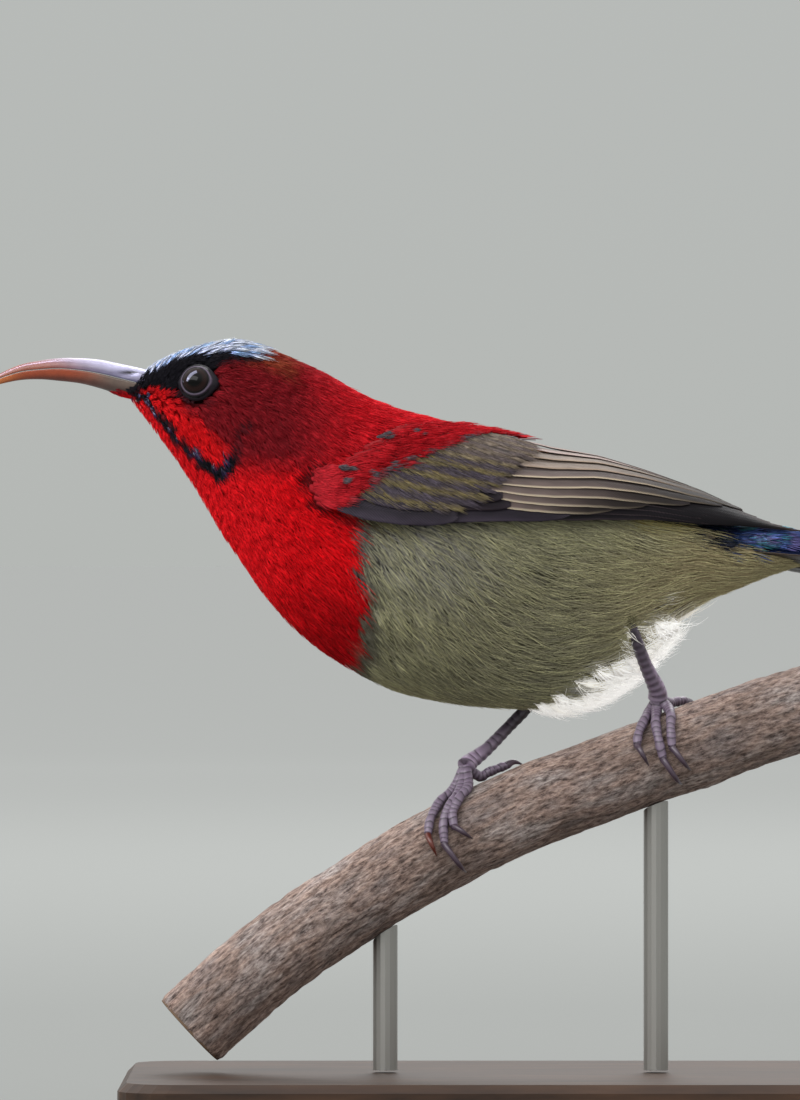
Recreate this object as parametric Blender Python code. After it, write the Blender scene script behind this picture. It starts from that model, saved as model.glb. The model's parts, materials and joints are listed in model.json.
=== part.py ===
"""A crimson sunbird at life size, gripping a short cut branch above a plain display stand.

The bird faces -X and its left side faces -Y. All sizes are in millimetres until a mesh is made,
in the row frame: +Z up, with the origin at the centre of the stand's underside.
"""

import math
import random

import bmesh
import bpy
import numpy as np
from mathutils import Vector
from mathutils.bvhtree import BVHTree

MM = 0.001
GAP = 0.3  # clearance that neighbouring pieces keep
SIDES = {"left": -1, "right": 1}  # sign of y

# The body's profile from the bill to the vent: the top point and the bottom point of each slanted
# section (x, z), its half width, and how high its widest level lies between bottom and top.
BODY = [
    (-43.5, 92.8, -45.6, 89.5, 1.9, 0.50),
    (-41.5, 93.7, -43.7, 87.2, 3.6, 0.52),
    (-39.0, 94.9, -41.5, 84.3, 5.0, 0.55),
    (-36.0, 95.7, -39.3, 81.3, 6.1, 0.58),
    (-32.3, 96.3, -36.6, 77.2, 6.9, 0.60),
    (-28.7, 95.5, -33.9, 72.6, 7.4, 0.60),
    (-25.0, 94.0, -31.3, 68.8, 7.9, 0.58),
    (-21.3, 92.3, -28.3, 64.6, 8.8, 0.55),
    (-17.7, 90.2, -24.4, 60.4, 10.0, 0.52),
    (-13.4, 88.3, -18.9, 56.5, 11.4, 0.50),
    (-8.5, 86.9, -12.8, 53.5, 12.4, 0.48),
    (-3.0, 85.3, -6.1, 52.1, 12.8, 0.47),
    (2.4, 83.7, 0.6, 51.5, 12.4, 0.46),
    (7.9, 81.6, 6.7, 51.7, 11.2, 0.46),
    (13.4, 79.4, 12.4, 53.4, 9.3, 0.47),
    (18.9, 77.0, 18.3, 57.9, 7.3, 0.48),
    (24.4, 75.0, 23.8, 63.7, 5.5, 0.50),
    (29.3, 73.6, 29.3, 66.3, 4.2, 0.50),
    (33.5, 72.3, 34.1, 68.2, 3.2, 0.50),
    (36.6, 71.4, 38.0, 69.4, 2.2, 0.50),
]
BODY_RINGS = 38
BODY_SEGMENTS = 30
HEAD_CUT = ((-24.0, 94.5), (-33.5, 71.5))  # the plane from nape to throat, as two (x, z) points
NECK_CUT = ((-15.5, 91.0), (-27.5, 61.5))  # the plane from mantle to upper breast

# Eyes
EYE_AT = (-36.9, 91.2)  # (x, z) of the pupil
EYE_RADIUS = 2.45
EYE_APERTURE = 2.0  # radius of the opening between the lids
LID_THICKNESS = 0.42
LID_STEPS = (18, 5)  # round the eye, and round the rim's own section
LID_WIDEN = 1.06  # the opening is a little longer than it is high
BALL_STEPS = (18, 11)  # segments and rings of an eyeball and its socket

# Bill: x, culmen z, line between the mandibles z, lower edge z, half width
BILL = [
    (-43.9, 92.9, 91.0, 89.2, 1.95),
    (-46.3, 93.4, 91.6, 89.6, 1.70),
    (-48.8, 93.9, 92.2, 90.4, 1.45),
    (-51.2, 94.1, 92.6, 91.0, 1.25),
    (-53.7, 94.1, 92.8, 91.3, 1.08),
    (-56.1, 93.8, 92.7, 91.5, 0.92),
    (-58.5, 93.3, 92.4, 91.4, 0.75),
    (-61.0, 92.2, 91.6, 90.9, 0.52),
    (-62.6, 91.1, 90.8, 90.4, 0.30),
]
BILL_RINGS = 15
NOSTRIL_AT = (-46.0, 92.45)
NOSTRIL_HALF = (1.15, 0.7, 0.28)
BILL_ARC = 6  # faces over each mandible
BILL_THIN = {"upper": 0.28, "lower": 0.22}  # the least height of a mandible
BILL_START = (1.2, -0.35)  # how far back and down the first section is repeated, before it is cut

# Folded wing: x, z of the lower edge, y of the lower edge, z at the back's midline
WING = [
    (-24.4, 75.4, 9.6, 93.2),
    (-18.9, 74.4, 11.6, 90.5),
    (-12.2, 73.8, 12.9, 87.6),
    (-6.1, 73.9, 13.3, 86.1),
    (0.0, 74.3, 12.9, 84.4),
    (6.1, 74.5, 11.6, 82.7),
    (12.2, 74.9, 9.5, 81.5),
    (18.3, 74.8, 7.3, 79.6),
    (24.4, 74.1, 5.4, 77.7),
    (29.3, 73.8, 4.3, 75.6),
    (33.5, 73.4, 3.5, 74.0),
    (36.6, 73.0, 2.9, 73.3),
]
WING_TOP = [  # how far up the back the wing reaches from its lower edge: x, share of the arc
    (-23.6, 0.22),
    (-22.0, 0.34),
    (-18.5, 0.42),
    (-12.2, 0.56),
    (-6.1, 0.74),
    (0.0, 0.92),
    (3.5, 1.00),
    (26.0, 1.00),
]
VANE_THICKNESS = 0.5
SLAB_END = 25.0
SLAB_RINGS = 18
SLAB_SHARES = 7
SLAB_DEPTH = [(-24, 1.4), (-22, 2.6), (10, 2.2), (18, 1.0), (SLAB_END, 0.5)]  # x, how far it goes in
WRIST_X = -20.5
PRIMARY_TIPS = (37.0, 36.1, 34.7, 33.0, 31.4, 29.8)  # x of each tip, from the lowest feather up
SECONDARY_TIPS = (25.4, 26.6, 27.6, 28.4, 28.9, 29.2)
TERTIALS = ((0.64, 1.5, 28.0), (0.76, 1.7, 26.0), (0.90, 1.6, 23.5))  # share, half width, x of the tip
VANE_STEP = 0.082  # share of the arc between neighbouring secondaries or greater coverts
GREATER_COVERTS = 8
MEDIAN_COVERTS = 6

# Tail: root, droop below level, twist that lifts the near edge, and the feathers of one side
TAIL_ROOT = (29.9, 71.0)
TAIL_DROOP = math.radians(7.5)
TAIL_TWIST = math.radians(14)
RECTRIX_LENGTHS = (63.5, 49.0, 44.0, 39.5, 35.0, 30.0)
RECTRIX_HALF_WIDTH = 2.1
RECTRIX_FAN = math.radians(0.75)
RECTRIX_STEP = 0.36  # how far apart neighbouring feathers are rooted
RECTRIX_DROP = 0.26  # how far each lies under the next one in
RECTRIX_TUCK = 0.22  # how far its inner edge lies under its outer one
TAIL_BASE = [  # reach along the tail, half width, height above and below the root's line
    (0.0, 3.9, 2.1, 0.9),
    (3.0, 3.7, 1.9, 0.9),
    (7.0, 3.5, 1.3, 0.85),
    (12.0, 3.2, 0.5, 0.8),
]
TAIL_BASE_STEPS = (8, 14)  # rings, and points round each
# Rows of tail coverts: start, length, how many, and how far round the root they spread
TAIL_COVERTS = ((0.1, 6.5, 5, 1.25), (1.2, 9.5, 4, 1.0), (3.0, 12.0, 3, 0.7))
COVERT_HALF = 1.35
SLOT_REACHES = (-GAP, 4.0, 8.0, 14.0)  # where the slot for the tail has its sections
SLOT_TOP = (16, 14)  # its far corner, to the side and up

# Perch: the axis of the branch in the plane y = 0, and its radius
PERCH = [
    (-37.8, 12.2),
    (-34.8, 15.0),
    (-29.3, 19.8),
    (-22.6, 24.8),
    (-16.0, 29.0),
    (-11.0, 32.1),
    (-5.6, 35.1),
    (-0.6, 37.5),
    (4.4, 39.7),
    (12.0, 42.5),
    (17.4, 44.6),
    (24.9, 47.3),
    (31.7, 49.7),
    (38.0, 51.7),
    (41.5, 52.8),
]
PERCH_RADIUS = 5.2
PERCH_RINGS = 25
PERCH_SEGMENTS = 16
KNOT_AT = (0.80, -150)  # share of the branch's length, degrees round it
KNOT_HALF = (2.6, 2.0, 2.0)
KNOT_SUNK = 1.2

# Legs: the path of each shank from inside the body to the foot, and its radii
LEGS = {
    "left": [
        (13.9, -7.2, 65.5),
        (14.9, -7.4, 63.6),
        (16.0, -6.6, 61.0),
        (17.6, -4.4, 56.8),
        (19.0, -2.4, 53.9),
    ],
    "right": [
        (5.2, 4.4, 53.8),
        (3.2, 4.0, 51.3),
        (0.9, 3.0, 48.9),
        (-1.6, 1.6, 46.4),
        (-3.6, 0.4, 44.9),
    ],
}
SHANK_RADII = (0.95, 0.85, 0.78, 0.82, 1.15)
SHANK_STATIONS = 15
SCUTES = (0.97, 1.05)  # every second station is thicker
FEET = {"left": (19.2, -1.7, 52.7), "right": (-4.2, -0.3, 44.3)}
FOOT_HALF = (1.35, 1.25, 1.15)
ANKLE_RADII = [0.85, 0.9, 0.98, 1.08, 1.17, 1.1]
TOE_RADIUS = 0.60
TOE_RINGS = 12
CLAW_RADIUS = 0.36
CLAW_TIP = 0.13
CLAW_RINGS = 6
# Each toe as (offset along the perch, angle round it from the top towards -Y), ending with the claw's tip
TOES = {
    "left": {
        "inner": [(-1.4, 12), (-2.4, 32), (-3.6, 50), (-4.3, 65), (-3.8, 93)],
        "middle": [(-0.6, 20), (-1.2, 42), (-1.6, 66), (-1.9, 92), (-0.7, 134)],
        "outer": [(0.8, 22), (0.8, 40), (0.2, 60), (-0.4, 82), (0.9, 118)],
        "hind": [(1.2, -6), (2.0, -14), (2.8, -20), (3.3, -26), (4.4, -44)],
    },
    "right": {
        "outer": [(-2.4, 14), (-4.1, 26), (-6.1, 48), (-7.3, 66), (-7.6, 94)],
        "middle": [(-1.6, 24), (-3.1, 40), (-4.9, 60), (-6.1, 86), (-5.3, 134)],
        "inner": [(-0.6, 24), (-2.0, 38), (-3.5, 55), (-4.1, 72), (-2.7, 95)],
        "hind": [(1.2, -4), (2.4, -8), (3.6, -12), (4.7, -15), (6.3, -24)],
    },
}

# Stand
BASE_SIZE = (92.0, 58.0, 7.0)
BASE_CORNER = 6.0
BASE_EDGE = 1.0
ROD_RADIUS = 1.5
ROD_X = (-14.0, 19.0)
ROD_REACH = 45.0  # how high a rod goes before the branch is cut out of it

COLOURS = {
    "head": (0.30, 0.02, 0.02),
    "neck": (0.36, 0.02, 0.02),
    "torso": (0.34, 0.31, 0.20),
    "bill_upper": (0.26, 0.24, 0.28),
    "bill_lower": (0.38, 0.20, 0.12),
    "eye": (0.015, 0.01, 0.01),
    "wing": (0.16, 0.12, 0.10),
    "tail": (0.05, 0.06, 0.16),
    "leg": (0.12, 0.09, 0.11),
    "foot": (0.20, 0.15, 0.19),
    "perch": (0.30, 0.24, 0.19),
    "stand_base": (0.12, 0.08, 0.05),
    "stand_rod": (0.60, 0.58, 0.55),
}
METALS = ("stand_rod",)


def clear_scene():
    for obj in list(bpy.data.objects):
        bpy.data.objects.remove(obj)


def collection_of(name, hidden=False):
    made = bpy.data.collections.new(name)
    bpy.context.scene.collection.children.link(made)
    made.hide_render = hidden
    return made


def move_to(obj, holder):
    for old in list(obj.users_collection):
        old.objects.unlink(obj)
    holder.objects.link(obj)


def material_of(kind):
    found = bpy.data.materials.get(kind)
    if found:
        return found
    made = bpy.data.materials.new(kind)
    made.use_nodes = True
    shader = made.node_tree.nodes["Principled BSDF"]
    shader.inputs["Base Color"].default_value = (*COLOURS[kind], 1)
    shader.inputs["Roughness"].default_value = 0.35 if kind in METALS + ("eye",) else 0.7
    shader.inputs["Metallic"].default_value = 1.0 if kind in METALS else 0.0
    return made


def paint(obj, kind):
    """Gives a finished piece its one material."""
    obj.data.materials.clear()
    obj.data.materials.append(material_of(kind))
    for face in obj.data.polygons:
        face.material_index = 0


def smooth(rows, count):
    """Rows of values, resampled evenly along a Catmull-Rom curve through them."""
    rows = np.array(rows, float)
    padded = np.vstack([2 * rows[0] - rows[1], rows, 2 * rows[-1] - rows[-2]])
    t = np.linspace(0, len(rows) - 1, count)
    i = np.minimum(t.astype(int), len(rows) - 2)
    f = (t - i)[:, None]
    a, b, c, d = padded[i], padded[i + 1], padded[i + 2], padded[i + 3]
    return 0.5 * (2 * b + (c - a) * f + (2 * a - 5 * b + 4 * c - d) * f**2 + (3 * b - a - 3 * c + d) * f**3)


def read(rows, x):
    """The values of a table at x, its first column."""
    rows = np.array(rows, float)
    return [float(np.interp(x, rows[:, 0], rows[:, k])) for k in range(1, rows.shape[1])]


def object_from(name, points, faces):
    """An object with this mesh, its points given in millimetres."""
    mesh = bpy.data.meshes.new(name)
    mesh.from_pydata([tuple(float(v) * MM for v in p) for p in points], [], faces)
    obj = bpy.data.objects.new(name, mesh)
    bpy.context.scene.collection.objects.link(obj)
    face_outwards(obj)
    return obj


def face_outwards(obj):
    work = bmesh.new()
    work.from_mesh(obj.data)
    bmesh.ops.recalc_face_normals(work, faces=work.faces)
    if work.calc_volume(signed=True) < 0:
        bmesh.ops.reverse_faces(work, faces=work.faces)
    work.to_mesh(obj.data)
    work.free()


def loft(name, rings):
    """A closed solid through rings that have the same number of points."""
    rings = np.array(rings, float)
    n, m = rings.shape[:2]
    faces = [
        (i * m + j, i * m + (j + 1) % m, (i + 1) * m + (j + 1) % m, (i + 1) * m + j)
        for i in range(n - 1)
        for j in range(m)
    ]
    faces += [tuple(range(m))[::-1], tuple((n - 1) * m + j for j in range(m))]
    return object_from(name, rings.reshape(-1, 3), faces)


def apply_modifiers(obj):
    """Replaces an object's mesh by its evaluated one, with no modifiers left."""
    graph = bpy.context.evaluated_depsgraph_get()
    mesh = bpy.data.meshes.new_from_object(obj.evaluated_get(graph))
    obj.modifiers.clear()
    obj.data = mesh
    return obj


def largest_body(obj):
    """Keeps only the closed surface with the largest volume."""
    work = bmesh.new()
    work.from_mesh(obj.data)
    seen, bodies = set(), []
    for face in work.faces:
        if face in seen:
            continue
        body, queue = [], [face]
        seen.add(face)
        while queue:
            here = queue.pop()
            body.append(here)
            for edge in here.edges:
                for other in edge.link_faces:
                    if other not in seen:
                        seen.add(other)
                        queue.append(other)
        volume = sum(f.calc_center_median().dot(f.normal) * f.calc_area() for f in body)
        bodies.append((volume, body))
    best = max(bodies, key=lambda b: b[0])[1]
    dropped = [f for _, body in bodies if body is not best for f in body]
    bmesh.ops.delete(work, geom=dropped, context="FACES")
    work.to_mesh(obj.data)
    work.free()
    return obj


def fuse(base, pieces, solver="MANIFOLD"):
    """Joins closed pieces to a base by one union, and removes them."""
    group = collection_of(base.name + "_pieces", hidden=True)
    for piece in pieces:
        move_to(piece, group)
    join = base.modifiers.new("join", "BOOLEAN")
    join.operation = "UNION"
    join.operand_type = "COLLECTION"
    join.collection = group
    join.solver = solver
    apply_modifiers(base)
    for piece in pieces:
        bpy.data.objects.remove(piece)
    bpy.data.collections.remove(group)
    return base


def cut(obj, cutter, solver="MANIFOLD", keep_cutter=False):
    """Takes a closed cutter away from an object."""
    take = obj.modifiers.new("cut", "BOOLEAN")
    take.operation = "DIFFERENCE"
    take.object = cutter
    take.solver = solver
    apply_modifiers(obj)
    if not keep_cutter:
        bpy.data.objects.remove(cutter)
    return obj


def slice_off(obj, point, normal):
    """Cuts away what lies on the normal's side of a plane."""
    reach = 200.0
    point, normal = Vector(point), Vector(normal).normalized()
    across = normal.orthogonal().normalized()
    up = normal.cross(across)
    corners = [across * i + up * j for i, j in ((-1, -1), (1, -1), (1, 1), (-1, 1))]
    rings = [[point + normal * depth + corner * reach for corner in corners] for depth in (0, reach)]
    return cut(obj, loft("half_space", rings))


def copy_of(obj, name, grow=0.0):
    """A copy of an object, pushed out along its normals."""
    made = bpy.data.objects.new(name, obj.data.copy())
    bpy.context.scene.collection.objects.link(made)
    normals = [v.normal.copy() for v in made.data.vertices]
    for vertex, normal in zip(made.data.vertices, normals):
        vertex.co += normal * grow * MM
    return made


def tube(name, path, radii, sides=8):
    """A round closed tube along a path, as a curve that is then made a mesh."""
    curve = bpy.data.curves.new(name, "CURVE")
    curve.dimensions = "3D"
    curve.bevel_depth = MM
    curve.bevel_resolution = sides // 2 - 2
    curve.use_fill_caps = True
    spline = curve.splines.new("POLY")
    spline.points.add(len(path) - 1)
    for point, place, radius in zip(spline.points, path, radii):
        point.co = (*(float(v) * MM for v in place), 1)
        point.radius = float(radius)
    holder = bpy.data.objects.new(name + "_curve", curve)
    bpy.context.scene.collection.objects.link(holder)
    graph = bpy.context.evaluated_depsgraph_get()
    mesh = bpy.data.meshes.new_from_object(holder.evaluated_get(graph))
    work = bmesh.new()
    work.from_mesh(mesh)
    bmesh.ops.remove_doubles(work, verts=work.verts, dist=1e-6)
    work.to_mesh(mesh)
    work.free()
    obj = bpy.data.objects.new(name, mesh)
    obj.matrix_world = holder.matrix_world
    bpy.context.scene.collection.objects.link(obj)
    bpy.data.objects.remove(holder)
    face_outwards(obj)
    return obj


def ball(name, centre, radii, segments=16, rings=10):
    """An ellipsoid with these half axes."""
    bpy.ops.mesh.primitive_uv_sphere_add(segments=segments, ring_count=rings, radius=1)
    obj = bpy.context.object
    obj.name = name
    for vertex in obj.data.vertices:
        vertex.co = Vector((c + v * r for c, v, r in zip(centre, vertex.co, radii))) * MM
    return obj


def body_whole():
    """The whole plumage surface from bill to vent as one loft."""
    rings = []
    for top_x, top_z, bottom_x, bottom_z, half, level in smooth(BODY, BODY_RINGS):
        top, bottom = np.array([top_x, 0, top_z]), np.array([bottom_x, 0, bottom_z])
        rise = (top - bottom) * level
        ring = []
        for k in range(BODY_SEGMENTS):
            angle = 2 * math.pi * k / BODY_SEGMENTS
            reach = (top - bottom) - rise if math.sin(angle) > 0 else rise
            ring.append(bottom + rise + reach * math.sin(angle) + np.array([0, half * math.cos(angle), 0]))
        rings.append(ring)
    return loft("body_whole", rings)


def cut_normal(plane):
    """The unit normal of a cut plane, pointing to the tail."""
    (x0, z0), (x1, z1) = plane
    normal = Vector((z0 - z1, 0, x1 - x0)).normalized()
    return normal if normal.x > 0 else -normal


def part_body(whole):
    """Head, neck and torso, parted by two thin plane cuts."""
    head, neck, torso = (copy_of(whole, name) for name in ("head", "neck", "torso"))
    head_at, neck_at = (Vector((p[0][0], 0, p[0][1])) for p in (HEAD_CUT, NECK_CUT))
    head_normal, neck_normal = cut_normal(HEAD_CUT), cut_normal(NECK_CUT)
    half = GAP / 2
    slice_off(head, head_at - head_normal * half, head_normal)
    slice_off(neck, head_at + head_normal * half, -head_normal)
    slice_off(neck, neck_at - neck_normal * half, neck_normal)
    slice_off(torso, neck_at + neck_normal * half, -neck_normal)
    return head, neck, torso


def surface_at(tree, x, z, side):
    """The point and the outward normal of the surface seen from one side."""
    start = Vector((x, side * 40, z)) * MM
    point, normal, _, _ = tree.ray_cast(start, Vector((0, -side, 0)))
    if normal.y * side < 0:
        normal = -normal
    return point / MM, normal.normalized()


def make_lids(name, centre, normal, depth):
    """A closed ring of lids round the opening of an eye."""
    count, section = LID_STEPS
    across = normal.cross(Vector((0, 0, 1))).normalized()
    up = across.cross(normal)
    points, faces = [], []
    for i in range(count):
        turn = 2 * math.pi * i / count
        spoke = across * math.cos(turn) * LID_WIDEN + up * math.sin(turn)
        here, there = i * section, (i + 1) % count * section
        for j in range(section):
            tilt = 2 * math.pi * j / section
            reach = EYE_APERTURE + 0.25 + LID_THICKNESS * math.cos(tilt)
            lift = depth + 0.05 + LID_THICKNESS * math.sin(tilt)
            points.append(centre + spoke * reach + normal * lift)
            k = (j + 1) % section
            faces.append((here + j, here + k, there + k, there + j))
    return object_from(name, points, faces)


def make_eye(head, tree, side_name):
    """An eyeball in a socket with a raised ring of lids round it."""
    point, normal = surface_at(tree, *EYE_AT, SIDES[side_name])
    depth = math.sqrt(EYE_RADIUS**2 - EYE_APERTURE**2)
    centre = point - normal * depth
    fuse(head, [make_lids("lids_" + side_name, centre, normal, depth)])
    cut(head, ball("socket", centre, [EYE_RADIUS + GAP] * 3, *BALL_STEPS))
    return ball("eye_" + side_name, centre, [EYE_RADIUS] * 3, *BALL_STEPS)


def mandible(name, rows, sign):
    """One half of the bill: a half round of each section, above (sign 1) or below the mouth's line."""
    rings = []
    for x, culmen, line, keel, half in rows:
        if sign > 0:
            height, width, power = max(culmen - line - GAP / 2, BILL_THIN["upper"]), half, 0.8
        else:
            height, width, power = max(line - keel - GAP / 2, BILL_THIN["lower"]), 0.9 * half, 1.0
        turns = [math.pi * k / BILL_ARC for k in range(BILL_ARC + 1)]
        rise = [GAP / 2 + height * max(math.sin(turn), 0.0) ** power for turn in turns]
        rings.append([(x, width * math.cos(turn), line + sign * up) for turn, up in zip(turns, rise)])
    back, down = BILL_START
    first = [(x + back, y, z + down) for x, y, z in rings[0]]
    return loft(name, [first] + rings)


def make_bill():
    """The two mandibles, parted by the line of the mouth, with a nostril slit on each side."""
    rows = smooth(BILL, BILL_RINGS)
    top_x, top_z, bottom_x, bottom_z = BODY[0][:4]
    start_normal = Vector((bottom_z - top_z, 0, top_x - bottom_x)).normalized()
    start = Vector((top_x, 0, top_z)) + start_normal * GAP
    bill_upper = mandible("bill_upper", rows, 1)
    bill_lower = mandible("bill_lower", rows[:-1], -1)
    for half in (bill_upper, bill_lower):
        slice_off(half, start, -start_normal)
    for side in SIDES.values():
        reach = read([(-r[0], r[4]) for r in BILL], -NOSTRIL_AT[0])[0]
        place = (NOSTRIL_AT[0], side * (reach + 0.1), NOSTRIL_AT[1])
        cut(bill_upper, ball("nostril", place, NOSTRIL_HALF, 10, 6))
    return bill_upper, bill_lower


def wing_point(x, share, lift):
    """A point of the left folded wing, at a share of the arc up from its lower edge, lifted off it."""
    low_z, low_y, top_z = read(WING, x)
    turn = share * math.pi / 2
    rise = top_z - low_z
    y, z = low_y * math.cos(turn), low_z + rise * math.sin(turn)
    out = Vector((0, math.cos(turn) * rise, math.sin(turn) * low_y)).normalized()
    out = out.lerp(Vector((0, 0, 1)), min(max(1 - rise / 3, 0), 1)).normalized()  # flat at the wing's tip
    return Vector((x, -(y + out.y * lift), z + out.z * lift))


def wing_arc(x):
    """The length of the wing's arc from lower edge to midline at x."""
    low_z, low_y, top_z = read(WING, x)
    return math.pi / 2 * math.sqrt((low_y**2 + (top_z - low_z) ** 2) / 2)


def wing_slab():
    """The folded arm and hand that carry the feathers, thick at the wrist."""
    rings = []
    for x in np.linspace(WING_TOP[0][0], SLAB_END, SLAB_RINGS):
        top = read(WING_TOP, x)[0]
        low = max(0.0, (-21.5 - x) / 15)  # the front edge is rounded off below
        lift = 0.1 + 0.8 * math.exp(-(((x - WRIST_X) / 4.0) ** 2))
        depth = read(SLAB_DEPTH, x)[0]
        shares = [low + (top - low) * k / SLAB_SHARES for k in range(SLAB_SHARES + 1)]
        outer = [wing_point(x, share, lift) for share in shares]
        inner = [wing_point(x, share, -depth) for share in reversed(shares)]
        rings.append(outer + inner)
    return loft("slab", rings)


def wing_vane(name, root, tip, half, lift, tilt=0.3, point=0.3, stations=6):
    """One flat feather laid on the wing's arc, from its root to its tip, both as (x, share).

    Its lower edge stands proud by tilt, so that it shows over the feather below it. Point is the
    tip's share of the full breadth.
    """
    rings = []
    for k in range(stations):
        t = k / (stations - 1)
        x = root[0] + (tip[0] - root[0]) * t
        share = root[1] + (tip[1] - root[1]) * t
        breadth = half * min(0.75 + t, 1.0, point + (1 - point) * math.sqrt(max(0.0, (1 - t) * 4)))
        spread = breadth / wing_arc(x)
        low, high = max(share - spread, -0.02 - 0.03 * lift), min(share + spread, 0.985 - 0.02 * lift)
        rings.append(
            [
                wing_point(x, low, lift + tilt),
                wing_point(x, high, lift),
                wing_point(x, high, lift - VANE_THICKNESS),
                wing_point(x, low, lift + tilt - VANE_THICKNESS),
            ]
        )
    return loft(name, rings)


def flight_vanes():
    """Primaries, secondaries and tertials of one folded wing."""
    vanes = []
    # The primaries lie under the secondaries, their tips stepping out past them along the lower edge.
    for k, tip_x in enumerate(PRIMARY_TIPS):
        root, tip = (2.0, 0.06 + 0.05 * k), (tip_x, 0.10 + 0.13 * k)
        lift = -0.45 + 0.10 * k
        vanes.append(wing_vane(f"primary_{k}", root, tip, half=1.15, lift=lift, tilt=0.15, point=0.22))
    # The secondaries are narrow strips, each lower edge over the next feather down.
    for k, tip_x in enumerate(SECONDARY_TIPS):
        share = 0.115 + VANE_STEP * k
        root, tip = (-1.0, share), (tip_x, share + 0.06)
        vanes.append(wing_vane(f"secondary_{k}", root, tip, half=1.25, lift=0.12))
    for k, (share, half, tip_x) in enumerate(TERTIALS):
        root, tip = (0.5 + k, share), (tip_x, share - 0.02)
        vanes.append(wing_vane(f"tertial_{k}", root, tip, half, lift=0.25, point=0.35))
    return vanes


def covert_vanes():
    """The coverts that lie over the flight feathers' roots, and the alula."""
    vanes = [
        wing_vane("primary_covert_0", (-10.0, 0.10), (8.3, 0.035), half=0.95, lift=0.10, tilt=0.2),
        wing_vane("primary_covert_1", (-9.0, 0.17), (0.8, 0.12), half=1.1, lift=0.30, point=0.4),
        wing_vane("alula", (-18.0, 0.10), (-5.2, 0.08), half=1.35, lift=0.55, point=0.4),
    ]
    # The greater coverts' tips step up the wing.
    for k in range(GREATER_COVERTS):
        share = 0.17 + VANE_STEP * k
        root, tip = (-15.0 + 1.75 * k, share + 0.05), (-0.4 + 0.62 * k, share + 0.02)
        name = f"greater_covert_{k}"
        vanes.append(wing_vane(name, root, tip, half=1.25, lift=0.42, point=0.45, stations=4))
    # The median coverts are shorter, above and ahead of them.
    for k in range(MEDIAN_COVERTS):
        share = 0.22 + 0.10 * k
        root, tip = (-18.5 + 2.3 * k, share + 0.04), (-11.5 + 1.9 * k, share + 0.01)
        name = f"median_covert_{k}"
        vanes.append(wing_vane(name, root, tip, half=1.35, lift=0.60, tilt=0.25, point=0.5, stations=4))
    return vanes


def mirrored(obj, name):
    """The same mesh on the bird's other side."""
    made = copy_of(obj, name)
    for vertex in made.data.vertices:
        vertex.co.y = -vertex.co.y
    made.data.flip_normals()
    return made


def make_wings(whole):
    """Both folded wings, cut clear of the body under them and of each other."""
    left = wing_slab()
    left.name = "wing_left"
    fuse(left, flight_vanes() + covert_vanes())
    cut(left, copy_of(whole, "body_grown", GAP + 0.05))
    slice_off(left, (0, -GAP / 2, 0), (0, 1, 0))
    largest_body(left)
    return left, mirrored(left, "wing_right")


def tail_frame():
    """The tail's root, and its directions along, towards the bird's left, and up."""
    root = Vector((TAIL_ROOT[0], 0, TAIL_ROOT[1]))
    along = Vector((math.cos(TAIL_DROOP), 0, -math.sin(TAIL_DROOP)))
    level = Vector((0, -1, 0))
    rise = Vector((math.sin(TAIL_DROOP), 0, math.cos(TAIL_DROOP)))
    left = level * math.cos(TAIL_TWIST) + rise * math.sin(TAIL_TWIST)
    up = rise * math.cos(TAIL_TWIST) - level * math.sin(TAIL_TWIST)
    return root, along, left, up


def tail_point(along_by, left_by, up_by):
    root, along, left, up = tail_frame()
    return root + along * along_by + left * left_by + up * up_by


def rectrix_corners(index, side, reach):
    """The four corners of a tail feather's section at a reach from the root, as tail points."""
    t = reach / RECTRIX_LENGTHS[index]
    fan = side * (index + 0.5) * RECTRIX_FAN
    half = RECTRIX_HALF_WIDTH * min(0.48 + 1.6 * t, 1.0)
    if index == 0:
        half *= 1.0 if t < 0.55 else max(0.14, 1 - (t - 0.55) / 0.45 * 0.9)
    else:
        half *= min(1.0, 0.25 + 0.75 * math.sqrt(max(0.0, (1 - t) * 6)))
    middle = side * (0.22 + RECTRIX_STEP * index) + reach * math.sin(fan)
    sag = -0.0011 * reach**2 * (0.35 if index else 0.5)
    level = 0.15 - RECTRIX_DROP * index + sag + (0.04 if side > 0 else 0)
    inner, outer = middle - side * half, middle + side * half
    ahead = reach * math.cos(fan)
    return [
        (ahead, outer, level),
        (ahead, inner, level - RECTRIX_TUCK),
        (ahead, inner, level - RECTRIX_TUCK - VANE_THICKNESS),
        (ahead, outer, level - VANE_THICKNESS),
    ]


def rectrix(index, side):
    """One tail feather: side is 1 on the bird's left. The central pair is long and pointed."""
    shares = (0, 0.3, 0.55, 0.72, 0.87, 1) if index == 0 else (0, 0.33, 0.66, 0.87, 0.96, 1)
    rings = [rectrix_corners(index, side, t * RECTRIX_LENGTHS[index]) for t in shares]
    return loft(f"rectrix_{index}_{side}", [[tail_point(*corner) for corner in ring] for ring in rings])


def tail_base():
    """The rounded root that carries the feathers, thinning out along them."""
    count, around = TAIL_BASE_STEPS
    rings = []
    for reach, half, top, bottom in smooth(TAIL_BASE, count):
        ring = []
        for k in range(around):
            angle = 2 * math.pi * k / around
            height = top if math.sin(angle) > 0 else bottom
            ring.append(tail_point(reach, half * math.cos(angle), height * math.sin(angle)))
        rings.append(ring)
    return loft("tail", rings)


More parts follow.
